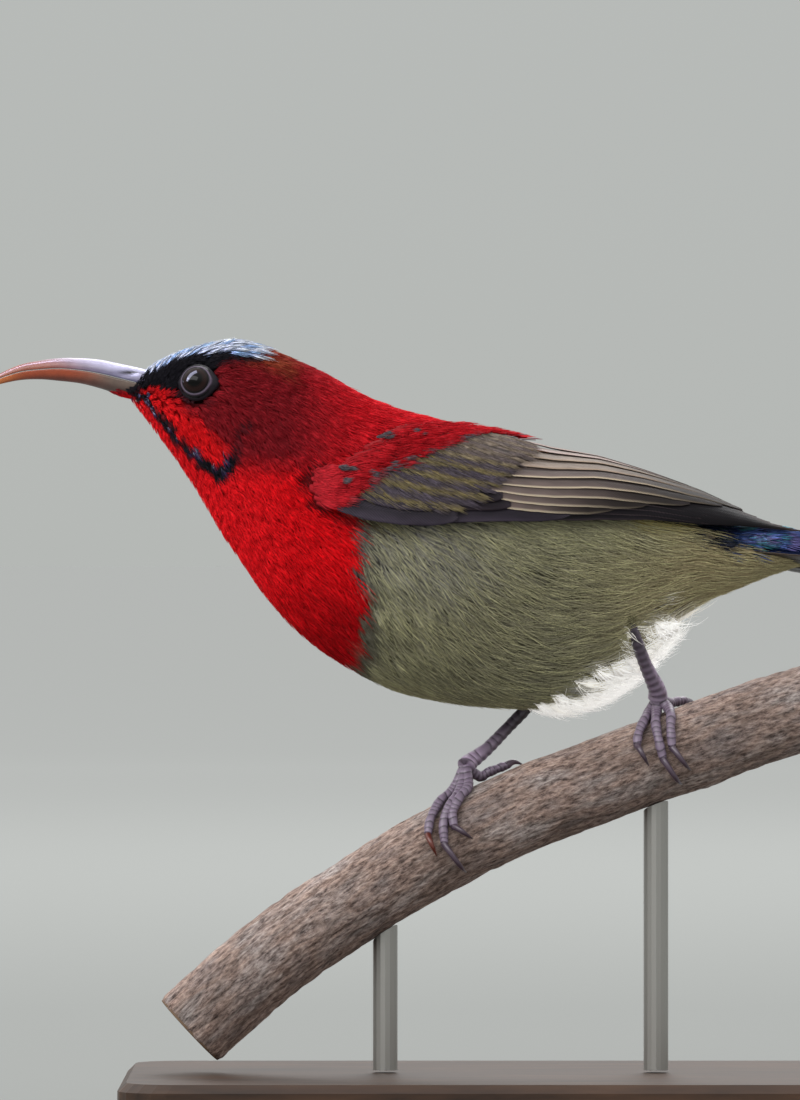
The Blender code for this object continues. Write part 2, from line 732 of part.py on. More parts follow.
def covert(name, start, length, spread, half):
    """One upper tail covert, lying over the root at an angle round it."""
    rings = []
    for t in (0, 0.45, 0.85, 1):
        reach = start + length * t
        radius = 3.75 - 0.055 * reach
        height = 2.15 - 0.12 * reach
        ring = []
        wide = half * min(0.7 + t, 1.0, 0.3 + 0.7 * math.sqrt(max(0.0, (1 - t) * 3))) / radius
        for turn, lift in ((-wide, 0.35), (wide, 0.35), (wide, -0.35), (-wide, -0.35)):
            angle = spread + turn
            across, up = (radius + lift) * math.sin(angle), (height + lift) * math.cos(angle)
            ring.append(tail_point(reach, across, up))
        rings.append(ring)
    return loft(name, rings)


def make_tail():
    """Twelve tail feathers on one root, with blue coverts over it."""
    base = tail_base()
    pieces = [rectrix(index, side) for index in range(len(RECTRIX_LENGTHS)) for side in (1, -1)]
    for row, (start, length, count, reach) in enumerate(TAIL_COVERTS):
        for k in range(count):
            spread = reach * (2 * k / (count - 1) - 1)
            pieces.append(covert(f"covert_{row}_{k}", start, length, spread, COVERT_HALF))
    fuse(base, pieces)
    root, along, _, _ = tail_frame()
    slice_off(base, root + along * 0.05, -along)
    return largest_body(base)


def cut_tail_slot(torso):
    """Takes away the torso where the tail sits, along the underside of its feathers."""
    rings = []
    far, high = SLOT_TOP
    for reach in SLOT_REACHES:
        under = {}
        for side in (1, -1):
            row = [rectrix_corners(index, side, max(reach, 0)) for index in (2, 3, 4, 5)]
            inner = [(corners[2][1], corners[2][2]) for corners in row]
            outer = (row[-1][3][1] + side * GAP, row[-1][3][2])
            under[side] = inner + [outer, (outer[0], outer[1] + 1.6), (outer[0] + side * 8, outer[1] + 2.2)]
        middle = (0.0, rectrix_corners(1, 1, max(reach, 0))[2][2])
        line = under[-1][::-1] + [middle] + under[1]
        ring = [(u, level - GAP) for u, level in line] + [(far, high), (-far, high)]
        rings.append([tail_point(reach, u, level) for u, level in ring])
    cut(torso, loft("slot", rings))
    return largest_body(torso)


def perch_rows():
    """The perch's axis resampled: x, z, and the length run so far."""
    rows = smooth(PERCH, 80)
    steps = np.hypot(*np.diff(rows, axis=0).T)
    return np.column_stack([rows, np.concatenate([[0], np.cumsum(steps)])])


def perch_station(run):
    """Centre, direction and upward normal of the perch at a length run along it."""
    rows = perch_rows()
    x, z = (np.interp(run, rows[:, 2], rows[:, k]) for k in (0, 1))
    x1, z1 = (np.interp(run + 0.5, rows[:, 2], rows[:, k]) for k in (0, 1))
    x0, z0 = (np.interp(run - 0.5, rows[:, 2], rows[:, k]) for k in (0, 1))
    along = Vector((x1 - x0, 0, z1 - z0)).normalized()
    return Vector((x, 0, z)), along, Vector((-along.z, 0, along.x))


def nearest_run(point):
    rows = perch_rows()
    return float(rows[np.argmin(np.hypot(rows[:, 0] - point[0], rows[:, 1] - point[2])), 2])


def on_perch(run, degrees, clear):
    """A point off the perch by clear, at an angle round it from the top towards the bird's left."""
    centre, _, up = perch_station(run)
    angle = math.radians(degrees)
    return centre + (up * math.cos(angle) - Vector((0, math.sin(angle), 0))) * (PERCH_RADIUS + clear)


def make_perch():
    """The cut branch, a little uneven along its length, with a healed knot."""
    rows = perch_rows()
    length = rows[-1, 2]
    dice = random.Random(7)
    phases = [dice.uniform(0, 2 * math.pi) for _ in range(2)]
    rings = []
    for run in np.linspace(0, length, PERCH_RINGS):
        _, _, up = perch_station(float(np.clip(run, 0.6, length - 0.6)))
        x, z = (np.interp(run, rows[:, 2], rows[:, k]) for k in (0, 1))
        centre = Vector((x, 0, z))
        ring = []
        for k in range(PERCH_SEGMENTS):
            angle = 2 * math.pi * k / PERCH_SEGMENTS
            swell = 0.06 * math.sin(run * 0.31 + phases[0])
            flat = 0.042 * math.sin(2 * angle + run * 0.17 + phases[1])
            radius = PERCH_RADIUS - 0.12 + swell + flat
            ring.append(centre + (up * math.cos(angle) - Vector((0, math.sin(angle), 0))) * radius)
        rings.append(ring)
    perch = loft("perch", rings)
    knot_at = on_perch(length * KNOT_AT[0], KNOT_AT[1], -KNOT_SUNK)
    return fuse(perch, [ball("knot", knot_at, KNOT_HALF, 12, 8)])


def leg_path(side_name):
    return smooth(LEGS[side_name], SHANK_STATIONS)


def make_leg(side_name):
    """A scaled shank from the belly down to the foot."""
    radii = smooth([(r,) for r in SHANK_RADII], SHANK_STATIONS)[:, 0]
    scutes = [SCUTES[k % 2] for k in range(SHANK_STATIONS)]
    return tube("leg_" + side_name, leg_path(side_name), radii * scutes, 8)


def make_foot(side_name):
    """Three front toes over the near face of the perch, the hind toe behind, each with its claw."""
    foot_at = Vector(FEET[side_name])
    home = nearest_run(foot_at)
    pad = ball("foot_" + side_name, foot_at, FOOT_HALF, 10, 7)
    ankle = list(leg_path(side_name)[-5:])
    pieces = [tube("ankle", ankle + [foot_at], ANKLE_RADII, 8)]
    for toe, marks in TOES[side_name].items():
        path = [foot_at] + [on_perch(home + run, turn, TOE_RADIUS + GAP + 0.05) for run, turn in marks[:-1]]
        path = smooth([tuple(p) for p in path], TOE_RINGS)
        radii = [TOE_RADIUS * (1.12 - 0.02 * k) * (1.08 if k % 2 == 0 else 0.94) for k in range(TOE_RINGS)]
        pieces.append(tube(f"toe_{toe}", path, radii, 6))
        (run0, turn0), (run1, turn1) = marks[-2:]
        claw = []
        for k in range(CLAW_RINGS):
            t = k / (CLAW_RINGS - 1)
            clear = TOE_RADIUS + GAP + 0.75 * math.sin(math.pi * t) - (TOE_RADIUS - CLAW_TIP - 0.1) * t
            claw.append(on_perch(home + run0 + (run1 - run0) * t, turn0 + (turn1 - turn0) * t, clear))
        radii = np.linspace(CLAW_RADIUS, CLAW_TIP, CLAW_RINGS)
        pieces.append(tube(f"claw_{toe}", claw, radii, 6))
    return fuse(pad, pieces)


def part_leg_from_foot(leg, foot, side_name):
    """Cuts shank and foot by one plane across the ankle's foot end, so that they meet face to face."""
    path = leg_path(side_name)
    end, before = Vector(path[-1]), Vector(path[-4])
    down = (end - before).normalized()
    here = end - down * 0.6
    slice_off(leg, here - down * GAP / 2, down)
    slice_off(foot, here + down * GAP / 2, -down)
    return largest_body(foot)


def make_stand(perch):
    """A flat base with rounded corners and two short rods that end just under the branch."""
    wide, deep, high = BASE_SIZE
    outline = []
    for cx, cy, start in ((1, 1, 0), (-1, 1, 90), (-1, -1, 180), (1, -1, 270)):
        for k in range(6):
            turn = math.radians(start + 18 * k)
            x = cx * (wide / 2 - BASE_CORNER) + BASE_CORNER * math.cos(turn)
            y = cy * (deep / 2 - BASE_CORNER) + BASE_CORNER * math.sin(turn)
            outline.append((x, y))
    shrunk = [(x * (1 - 2 * BASE_EDGE / wide), y * (1 - 2 * BASE_EDGE / deep)) for x, y in outline]
    levels = ((outline, 0), (outline, high - BASE_EDGE), (shrunk, high))
    base = loft("stand_base", [[(x, y, z) for x, y in ring] for ring, z in levels])
    rods = []
    for name, x in zip(("stand_rod_front", "stand_rod_rear"), ROD_X):
        rod = tube(name, [(x, 0, high + GAP), (x, 0, high + ROD_REACH)], [ROD_RADIUS] * 2, 16)
        cut(rod, copy_of(perch, "perch_grown", GAP))
        rods.append(largest_body(rod))
    return [base] + rods


def main():
    clear_scene()
    whole = body_whole()
    tree = BVHTree.FromPolygons(
        [v.co for v in whole.data.vertices], [tuple(p.vertices) for p in whole.data.polygons]
    )
    head, neck, torso = part_body(whole)
    eyes = [make_eye(head, tree, name) for name in SIDES]
    bill = make_bill()
    wings = make_wings(whole)
    tail = make_tail()
    cut_tail_slot(torso)
    grown = copy_of(whole, "body_grown", GAP)
    legs, feet = [], []
    for name in SIDES:
        leg, foot = make_leg(name), make_foot(name)
        part_leg_from_foot(leg, foot, name)
        cut(leg, grown, keep_cutter=True)
        legs.append(largest_body(leg))
        feet.append(foot)
    bpy.data.objects.remove(grown)
    bpy.data.objects.remove(whole)
    perch = make_perch()
    stand = make_stand(perch)
    parts = [head, neck, torso, *eyes, *bill, *wings, tail, *legs, *feet, perch, *stand]
    home = collection_of("crimson_sunbird")
    for obj in parts:
        move_to(obj, home)
        paint(obj, next(kind for kind in COLOURS if obj.name.startswith(kind)))
        obj.data.shade_smooth()
        obj.data.set_sharp_from_angle(angle=math.radians(40))


main()
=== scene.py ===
"""The crimson sunbird's looks: plumage, scales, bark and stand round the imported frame.

Lengths are in millimetres until a mesh is made. Every coat feather is a small closed leaf under
a tuft of closed barbs, laid on a surface that is known as a function of two coordinates.
"""

import json
import math

import bmesh
import bpy
import numpy as np
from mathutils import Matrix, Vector, noise

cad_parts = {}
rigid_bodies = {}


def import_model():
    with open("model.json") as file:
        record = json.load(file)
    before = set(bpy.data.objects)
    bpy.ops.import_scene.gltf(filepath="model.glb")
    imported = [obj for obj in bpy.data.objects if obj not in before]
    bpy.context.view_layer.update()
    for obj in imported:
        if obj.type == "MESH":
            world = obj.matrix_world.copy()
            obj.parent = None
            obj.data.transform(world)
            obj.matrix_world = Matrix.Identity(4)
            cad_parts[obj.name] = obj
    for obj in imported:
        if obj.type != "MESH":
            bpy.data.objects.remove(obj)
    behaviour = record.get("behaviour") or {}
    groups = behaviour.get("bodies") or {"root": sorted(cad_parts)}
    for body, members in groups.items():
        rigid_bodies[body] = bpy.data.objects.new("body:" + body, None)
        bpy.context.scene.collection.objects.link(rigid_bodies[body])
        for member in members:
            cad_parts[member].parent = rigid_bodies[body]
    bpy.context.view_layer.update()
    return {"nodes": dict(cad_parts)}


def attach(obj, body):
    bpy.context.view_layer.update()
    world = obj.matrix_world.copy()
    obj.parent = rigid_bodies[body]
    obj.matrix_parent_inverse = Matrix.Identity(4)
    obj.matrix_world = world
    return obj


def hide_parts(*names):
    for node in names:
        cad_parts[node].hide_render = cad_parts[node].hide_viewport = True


MM = 0.001
SIDES = {"left": -1.0, "right": 1.0}  # sign of y
PX_PER_MM = 8.2  # the photograph's scale
PX_ORIGIN = (500.0, 1130.0)  # the pixel of the row's origin
rng = np.random.default_rng(11)

# The body's profile as in the solids: top x, z; bottom x, z; half width; share of height where widest
BODY = [
    (-43.5, 92.8, -45.6, 89.5, 1.9, 0.50),
    (-41.5, 93.7, -43.7, 87.2, 3.6, 0.52),
    (-39.0, 94.9, -41.5, 84.3, 5.0, 0.55),
    (-36.0, 95.7, -39.3, 81.3, 6.1, 0.58),
    (-32.3, 96.3, -36.6, 77.2, 6.9, 0.60),
    (-28.7, 95.5, -33.9, 72.6, 7.4, 0.60),
    (-25.0, 94.0, -31.3, 68.8, 7.9, 0.58),
    (-21.3, 92.3, -28.3, 64.6, 8.8, 0.55),
    (-17.7, 90.2, -24.4, 60.4, 10.0, 0.52),
    (-13.4, 88.3, -18.9, 56.5, 11.4, 0.50),
    (-8.5, 86.9, -12.8, 53.5, 12.4, 0.48),
    (-3.0, 85.3, -6.1, 52.1, 12.8, 0.47),
    (2.4, 83.7, 0.6, 51.5, 12.4, 0.46),
    (7.9, 81.6, 6.7, 51.7, 11.2, 0.46),
    (13.4, 79.4, 12.4, 53.4, 9.3, 0.47),
    (18.9, 77.0, 18.3, 57.9, 7.3, 0.48),
    (24.4, 75.0, 23.8, 63.7, 5.5, 0.50),
    (29.3, 73.6, 29.3, 66.3, 4.2, 0.50),
    (33.5, 72.3, 34.1, 68.2, 3.2, 0.50),
    (36.6, 71.4, 38.0, 69.4, 2.2, 0.50),
]
WING = [  # x, z of the lower edge, y there, z at the midline of the back
    (-24.4, 75.4, 9.6, 93.2),
    (-18.9, 74.4, 11.6, 90.5),
    (-12.2, 73.8, 12.9, 87.6),
    (-6.1, 73.9, 13.3, 86.1),
    (0.0, 74.3, 12.9, 84.4),
    (6.1, 74.5, 11.6, 82.7),
    (12.2, 74.9, 9.5, 81.5),
    (18.3, 74.8, 7.3, 79.6),
    (24.4, 74.1, 5.4, 77.7),
    (29.3, 73.8, 4.3, 75.6),
    (33.5, 73.4, 3.5, 74.0),
    (36.6, 73.0, 2.9, 73.3),
]
BILL = [  # x, culmen z, gape line z, lower edge z, half width
    (-43.9, 92.9, 91.0, 89.2, 1.95),
    (-46.3, 93.4, 91.6, 89.6, 1.70),
    (-48.8, 93.9, 92.2, 90.4, 1.45),
    (-51.2, 94.1, 92.6, 91.0, 1.25),
    (-53.7, 94.1, 92.8, 91.3, 1.08),
    (-56.1, 93.8, 92.7, 91.5, 0.92),
    (-58.5, 93.3, 92.4, 91.4, 0.75),
    (-61.0, 92.2, 91.6, 90.9, 0.52),
    (-62.6, 91.1, 90.8, 90.4, 0.30),
]
NOSTRIL_AT = (-45.1, 92.3)
EYE_AT = (-36.9, 91.2)
EYE_RADIUS = 2.45
EYE_APERTURE = 2.0
LID_INNER = 1.6
LID_RING = 1.78
LID_SECTIONS = 96
# Points of the lid's section: how far they reach from the eye's axis, and rise above the eyeball
LID_REACH = np.array([2.3, 2.1, 2.0, 1.93, 1.88, 1.83, 1.78, 1.73, 1.68, 1.63, 1.64, 1.72, 1.95, 2.3])
LID_ABOVE = np.array([-0.3, -0.1, 0, 0.04, 0.07, 0.12, 0.15, 0.13, 0.1, 0.05, -0.01, -0.05, -0.08, -0.5])
BILL_GAP = 0.04  # half the gap between the mandibles
PERCH = [
    (-37.8, 12.2),
    (-34.8, 15.0),
    (-29.3, 19.8),
    (-22.6, 24.8),
    (-16.0, 29.0),
    (-11.0, 32.1),
    (-5.6, 35.1),
    (-0.6, 37.5),
    (4.4, 39.7),
    (12.0, 42.5),
    (17.4, 44.6),
    (24.9, 47.3),
    (31.7, 49.7),
    (38.0, 51.7),
    (41.5, 52.8),
]
PERCH_RADIUS = 5.2
KNOT_RUN, KNOT_DEGREES = 0.80, -150  # share of the branch's length, and turn round it
LEGS = {
    "left": [
        (13.9, -7.2, 65.5),
        (14.9, -7.4, 63.6),
        (16.0, -6.6, 61.0),
        (17.6, -4.4, 56.8),
        (19.0, -2.4, 53.9),
    ],
    "right": [
        (5.2, 4.4, 53.8),
        (3.2, 4.0, 51.3),
        (0.9, 3.0, 48.9),
        (-1.6, 1.6, 46.4),
        (-3.6, 0.4, 44.9),
    ],
}
THIGHS = {
    "left": [(15.1, -6.9, 63.4), (16.2, -6.6, 61.2)],
    "right": [(5.0, 4.3, 53.4), (2.6, 3.7, 50.2)],
}
FEET = {"left": (19.2, -1.7, 52.7), "right": (-4.2, -0.3, 44.3)}
TOE_RADIUS = 0.60
TOE_SHAPE = np.array([1.3, 1.08, 1.12, 0.94, 1.06, 0.88, 0.98, 0.78])  # in toe radii, with its joints
SHANK_RADII = [0.86, 0.76, 0.72, 0.80, 1.05, 1.2]
TOES = {  # offset along the perch, angle round it from the top towards -Y; the last is the claw's tip
    "left": {
        "inner": [(-1.4, 12), (-2.4, 32), (-3.6, 50), (-4.3, 65), (-3.8, 93)],
        "middle": [(-0.6, 20), (-1.2, 42), (-1.6, 66), (-1.9, 92), (-0.7, 134)],
        "outer": [(0.8, 22), (0.8, 40), (0.2, 60), (-0.4, 82), (0.9, 118)],
        "hind": [(1.2, -6), (2.0, -14), (2.8, -20), (3.3, -26), (4.4, -44)],
    },
    "right": {
        "outer": [(-2.4, 14), (-4.1, 26), (-6.1, 48), (-7.3, 66), (-7.6, 94)],
        "middle": [(-1.6, 24), (-3.1, 40), (-4.9, 60), (-6.1, 86), (-5.3, 134)],
        "inner": [(-0.6, 24), (-2.0, 38), (-3.5, 55), (-4.1, 72), (-2.7, 95)],
        "hind": [(1.2, -4), (2.4, -8), (3.6, -12), (4.7, -15), (6.3, -24)],
    },
}
TAIL_ROOT = (29.9, 71.0)
TAIL_DROOP = math.radians(7.5)
TAIL_TWIST = math.radians(14)
RECTRIX_LENGTHS = (63.5, 49.0, 44.0, 39.5, 35.0, 30.0)
RECTRIX_HALF_WIDTH = 2.1
RECTRIX_FAN = math.radians(0.75)
RECTRIX_STEP = 0.36
RECTRIX_DROP = 0.26

COAT_DEPTH = 0.8  # how far the skin lies inside the solids' surface
COAT_PIECE_TRIANGLES = 190_000
BAKE_PATCH = 0.003
BARB_CORNERS = ((-1.0, -0.35), (1.0, -0.35), (0.0, 0.75))  # a barb's section, in half widths
# A tuft's leaf: stations along it and its width there, then places across it and their rise
LEAF_ALONG = np.array([0.0, 0.35, 0.65, 0.84])
LEAF_WIDE = np.array([0.5, 1.0, 0.8, 0.1])
LEAF_ACROSS = np.array([-0.85, 0.0, 0.85, 0.0])
LEAF_RISE = np.array([-0.10, -0.05, -0.10, -0.16])

# How the body's tufts change along x, each as (x, value)
TUFT_GAPS = [(-44, 0.60), (-40, 0.76), (-32, 0.92), (-24, 1.12), (-14, 1.35), (0, 1.5), (20, 1.45), (36, 1.3)]
TUFT_JITTER = [(-44, 0.8), (-30, 1.6), (-20, 3.5), (0, 7.0)]  # pixels by which a marking's edge is ragged
TUFT_LENGTHS = [(-45, 1.0), (-40, 1.6), (-34, 2.2), (-26, 3.2), (-16, 4.4), (-4, 6.2), (14, 8.0), (30, 7.2)]
TUFT_SLIMNESS = [(-44, 0.34), (-34, 0.34), (-20, 0.30), (10, 0.24)]  # half width by length
BARB_HALVES = [(-44, 0.05), (-34, 0.06), (-20, 0.07), (0, 0.048), (20, 0.045)]
# Share up the wing's arc below which no tuft of the body shows
COVER_TOP = [(-22, 0.34), (-18.5, 0.42), (-12.2, 0.56), (-6.1, 0.74), (0.0, 0.92), (3.5, 1.0)]

# Colours as they look in the photograph, in sRGB out of 255
CRIMSON = (222, 8, 20)
SCARLET = (232, 20, 26)
MAROON = (136, 22, 32)
MANTLE = (196, 22, 34)
BLACKISH = (26, 24, 31)
OLIVE = (130, 126, 108)
PALE_OLIVE = (214, 210, 160)
FLANK_GREY = (132, 130, 134)
VENT_WHITE = (255, 254, 250)
UNDERTAIL = (162, 145, 112)
CROWN_BROWN = (142, 64, 42)
RUMP_YELLOW = (186, 160, 60)
FLANK_HIGHLIGHT = (176, 174, 146)
THROAT_RED = (250, 22, 32)
LOW_BREAST_SHADE = (140, 4, 12)
FLANK_SHADE = (52, 50, 44)
BEND_SHADE = (44, 8, 14)
RUMP_BLUE = (14, 22, 44)
THIGH_SHADED_OLIVE = (92, 84, 64)
SPOT_GREY = (96, 86, 92)
COVERT_RED = (184, 24, 35)
COVERT_PINK_HIGHLIGHT = (200, 38, 50)
CROWN_PALE = (238, 244, 255)
CROWN_BLUE = (156, 196, 244)
CROWN_ROOT = (104, 120, 160)
GLOSS_BLUE = (50, 104, 200)
GLOSS_TEAL = (50, 160, 180)
GLOSS_VIOLET = (90, 70, 180)
GLOSS_ROOT = (14, 20, 44)
STRIPE_VIOLET = (70, 46, 104)
COVERT_BLUE = (112, 144, 232)
COVERT_TEAL = (84, 186, 206)
COVERT_VIOLET = (156, 148, 230)
TAIL_ROOT_BLUE = (26, 40, 78)
PUPIL = (1, 1, 1)
IRIS = (28, 13, 11)
EYE_RIM = (4, 3, 4)
LID_DARK = (26, 22, 29)
LID_LIGHT = (104, 92, 110)
SKIN_DARK = (36, 26, 35)
SKIN_LIGHT = (134, 118, 138)
DARK_CLAW = ((70, 56, 70), (58, 44, 52))
RED_CLAW = ((84, 36, 28), (96, 42, 30))
BARK_TONES = [(0.34, (56, 46, 44)), (0.42, (116, 102, 98)), (0.54, (168, 155, 150)), (0.72, (214, 204, 199))]
BARK_PATCHES = [(0.35, (255, 255, 255)), (0.52, (246, 222, 206)), (0.7, (206, 200, 200))]
BARB_OLIVE = (140, 127, 90)
BARB_TAN = (148, 134, 118)
BARB_SLATE = (98, 89, 100)
BARB_GREY = (122, 110, 108)
ARM_SHADE_RED = (96, 12, 18)
ARM_SHADE_DARK = (34, 28, 32)
COVERT_ROOT = (12, 20, 44)
HORN_GREY = (112, 108, 134)
HORN_HIGHLIGHT = (186, 184, 212)
HORN_TIP = (150, 96, 70)
HORN_EDGE = (140, 74, 54)
NOSTRIL_SHADE = (22, 17, 16)
LOWER_ROOT = (108, 93, 84)
LOWER_ORANGE = (150, 70, 44)
LOWER_TIP = (206, 130, 72)
KEEL_DARK = (70, 48, 46)
SAWN_PALE = (172, 146, 112)
SAWN_YEAR = (134, 104, 74)
SAWN_RIM = (96, 76, 58)
SAWN_PITH = (90, 66, 48)
STAND_WOOD = (60, 42, 30)
STAND_GRAIN = [(0.3, (38, 25, 17)), (0.55, (66, 45, 31)), (0.8, (86, 61, 43))]
STAND_STEEL = (168, 166, 162)
FLOOR_GREY = (188, 190, 188)
FLOOR_TONES = [(0.08, (138, 140, 138)), (0.5, (170, 172, 170))]
SKY_TONES = [(0.0, (181, 184, 181)), (0.12, (186, 189, 187)), (0.7, (255, 255, 255))]
# Light, as linear colour: the glow painted into the white down, and the highlight lamps' tint
DOWN_GLOW = (1.0, 0.97, 0.92, 1.0)
HIGHLIGHT_TINT = (0.72, 0.72, 1.0)


def linear(colour):
    """An sRGB colour out of 255 as linear light."""
    c = np.asarray(colour, float) / 255
    return np.where(c <= 0.04045, c / 12.92, ((c + 0.055) / 1.055) ** 2.4)


def spline(rows, count):
    """Rows of values, resampled evenly along a Catmull-Rom curve through them."""
    rows = np.array(rows, float)
    padded = np.vstack([2 * rows[0] - rows[1], rows, 2 * rows[-1] - rows[-2]])
    t = np.linspace(0, len(rows) - 1, count)
    i = np.minimum(t.astype(int), len(rows) - 2)
    f = (t - i)[:, None]
    a, b, c, d = padded[i], padded[i + 1], padded[i + 2], padded[i + 3]
    return 0.5 * (2 * b + (c - a) * f + (2 * a - 5 * b + 4 * c - d) * f**2 + (3 * b - a - 3 * c + d) * f**3)


def unit(v):
    return v / np.maximum(np.linalg.norm(v, axis=-1, keepdims=True), 1e-9)


def dot(a, b):
    return (a * b).sum(-1)


def smoothstep(low, high, v):
    t = np.clip((v - low) / (high - low), 0, 1)
    return t * t * (3 - 2 * t)


def mix(a, b, share):
    return a + (b - a) * share


def columns_at(rows, x):
    """The other columns of a table of rows where its first column is x."""
    first, *others = np.array(rows, float).T
    return [np.interp(x, first, other) for other in others]


def wave_noise(points, scale, seed):
    """A smooth cheap noise in about -1 to 1 from sums of turned sine waves."""
    local = np.random.default_rng(seed)
    total = 0.0
    for _ in range(5):
        direction = local.normal(size=3)
        direction /= np.linalg.norm(direction)
        phase = points @ direction * (2 * math.pi / scale) * local.uniform(0.6, 1.7)
        total = total + np.sin(phase + local.uniform(0, 7))
    return total / 3.2


# Surfaces: each takes two coordinate arrays and returns points

BODY_TABLE = spline(BODY, 500)
BODY_INDEX = np.linspace(0, 1, len(BODY_TABLE))


def body_point(s, t):
    """The body at s from bill (0) to vent (1), and t round it from its right over its top."""
    inside = np.clip(s, 0, 1)
    columns = [np.interp(inside, BODY_INDEX, column) for column in BODY_TABLE.T]
    top_x, top_z, low_x, low_z, half, level = columns
    sine = np.sin(t)
    share = level + np.where(sine > 0, 1 - level, level) * sine
    over = np.maximum(s - 1, 0) * 95
    x = low_x + (top_x - low_x) * share + over
    z = low_z + (top_z - low_z) * share - over * 0.12
    return np.stack([x, half * np.cos(t), z], -1)


def surface_of(point, step_p, step_q, outward):
    """Makes a point function into one that gives points and outward normals."""

    def surface(p, q):
        centre = point(p, q)
        dp = point(p + step_p, q) - point(p - step_p, q)
        dq = point(p, q + step_q) - point(p, q - step_q)
        normal = unit(np.cross(dp, dq))
        flip = np.where(dot(normal, outward(centre)) < 0, -1.0, 1.0)
        return centre, normal * flip[..., None]

    surface.point, surface.steps = point, (step_p, step_q)
    return surface


def body_outward(points):
    """A direction that points away from the body's axis."""
    axis_z = np.interp(points[..., 0], [-46, -38, -25, 0, 20, 38], [91, 88, 79, 68, 68, 70])
    return np.stack([np.zeros(points.shape[:-1]), points[..., 1], points[..., 2] - axis_z], -1) + [-0.3, 0, 0]


body_surface = surface_of(body_point, 0.004, 0.03, body_outward)


def wing_point_of(side):
    """The folded wing's carrier surface: x along the bird and share up the arc from the lower edge."""

    def point(x, share):
        low_z, low_y, top_z = columns_at(WING, x)
        turn = share * math.pi / 2
        return np.stack([x, side * low_y * np.cos(turn), low_z + (top_z - low_z) * np.sin(turn)], -1)

    return point


def wing_surface_of(side):
    """The wing's carrier with normals that turn flat towards its tip."""
    point = wing_point_of(side)

    def surface(x, share):
        low_z, low_y, top_z = columns_at(WING, x)
        rise = top_z - low_z
        turn = share * math.pi / 2
        out = unit(np.stack([np.zeros_like(turn), side * np.cos(turn) * rise, np.sin(turn) * low_y], -1))
        flat = np.clip(1 - rise / 3, 0, 1)[..., None]
        return point(x, share), unit(out * (1 - flat) + np.array([0, 0, 1.0]) * flat)

    surface.point, surface.steps = point, (0.3, 0.01)
    return surface


def wing_share(x, z):
    """How far up the wing's arc a height lies."""
    low_z, _, top_z = columns_at(WING, x)
    return np.arcsin(np.clip((z - low_z) / (top_z - low_z), 0, 1)) / (math.pi / 2)


def wing_arc(x):
    """The length of the wing's arc."""
    low_z, low_y, top_z = columns_at(WING, x)
    return math.pi / 2 * np.sqrt((low_y**2 + (top_z - low_z) ** 2) / 2)


# Meshes


def mesh_object(name, points, groups, colour, material, bake=None, extra=None):
    """An object from points in millimetres and arrays of faces, with colours and bake places by point."""
    mesh = bpy.data.meshes.new(name)
    mesh.vertices.add(len(points))
    mesh.vertices.foreach_set("co", (points * MM).astype(np.float32).ravel())
    corners = np.concatenate([g.ravel() for g in groups]).astype(np.int32)
    starts, at = [], 0
    for g in groups:
        starts.append(at + np.arange(len(g)) * g.shape[1])
        at += g.size
    mesh.loops.add(len(corners))
    mesh.loops.foreach_set("vertex_index", corners)
    mesh.polygons.add(sum(len(g) for g in groups))
    mesh.polygons.foreach_set("loop_start", np.concatenate(starts).astype(np.int32))
    mesh.update(calc_edges=True)
    mesh.shade_smooth()
    colours = mesh.color_attributes.new("Col", "FLOAT_COLOR", "POINT")
    opaque = np.column_stack([colour, np.ones(len(points))])
    colours.data.foreach_set("color", opaque.astype(np.float32).ravel())
    for key, values in (extra or {}).items():
        layer = mesh.attributes.new(key, "FLOAT", "POINT")
        layer.data.foreach_set("value", values.astype(np.float32).ravel())
    if bake is not None:
        layer = mesh.uv_layers.new(name="OFBake")
        layer.data.foreach_set("uv", bake[corners].astype(np.float32).ravel())
    mesh.materials.append(material)
    obj = bpy.data.objects.new(name, mesh)
    bpy.context.scene.collection.objects.link(obj)
    return obj


def strip_faces(count, rings, around):
    """Quads and cap triangles for a number of closed strips, each of rings of points."""
    size = rings * around
    i, j = np.meshgrid(np.arange(rings - 1), np.arange(around), indexing="ij")
    i, j = i.ravel(), j.ravel()
    k = (j + 1) % around
    quads = np.stack([i * around + j, i * around + k, (i + 1) * around + k, (i + 1) * around + j], -1)
    fan = np.arange(1, around - 1)
    first = np.stack([np.zeros_like(fan), fan + 1, fan], -1)
    last = (rings - 1) * around + np.stack([np.zeros_like(fan), fan, fan + 1], -1)
    caps = np.concatenate([first, last])
    base = (np.arange(count) * size)[:, None, None]
    return (quads[None] + base).reshape(-1, 4), (caps[None] + base).reshape(-1, 3)


def settle(piece, slot, *replaced):
    """Rides a piece on the root, in place of the solids that it replaces; the slot is not used."""
    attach(piece, "root")
    if replaced:
        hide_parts(*replaced)


def strips_object(name, rings, colour, material, bake=None, extra=None):
    """Closed strips from an array shaped strips, rings, points round, xyz."""
    groups = strip_faces(*rings.shape[:3])
    centre = rings.mean(2, keepdims=True)
    ahead = np.diff(centre[:, :, 0], axis=1)[:, 0]
    turn = np.cross(rings[:, 0, 0] - centre[:, 0, 0], rings[:, 0, 1] - centre[:, 0, 0])
    inward = dot(turn, ahead) < 0
    flipped, shade = rings.copy(), colour.copy()
    flipped[inward] = flipped[inward][:, :, ::-1]
    shade[inward] = shade[inward][:, :, ::-1]
    flat_bake = None if bake is None else bake.reshape(-1, 2)
    return mesh_object(name, flipped.reshape(-1, 3), groups, shade.reshape(-1, 3), material, flat_bake, extra)


# Materials


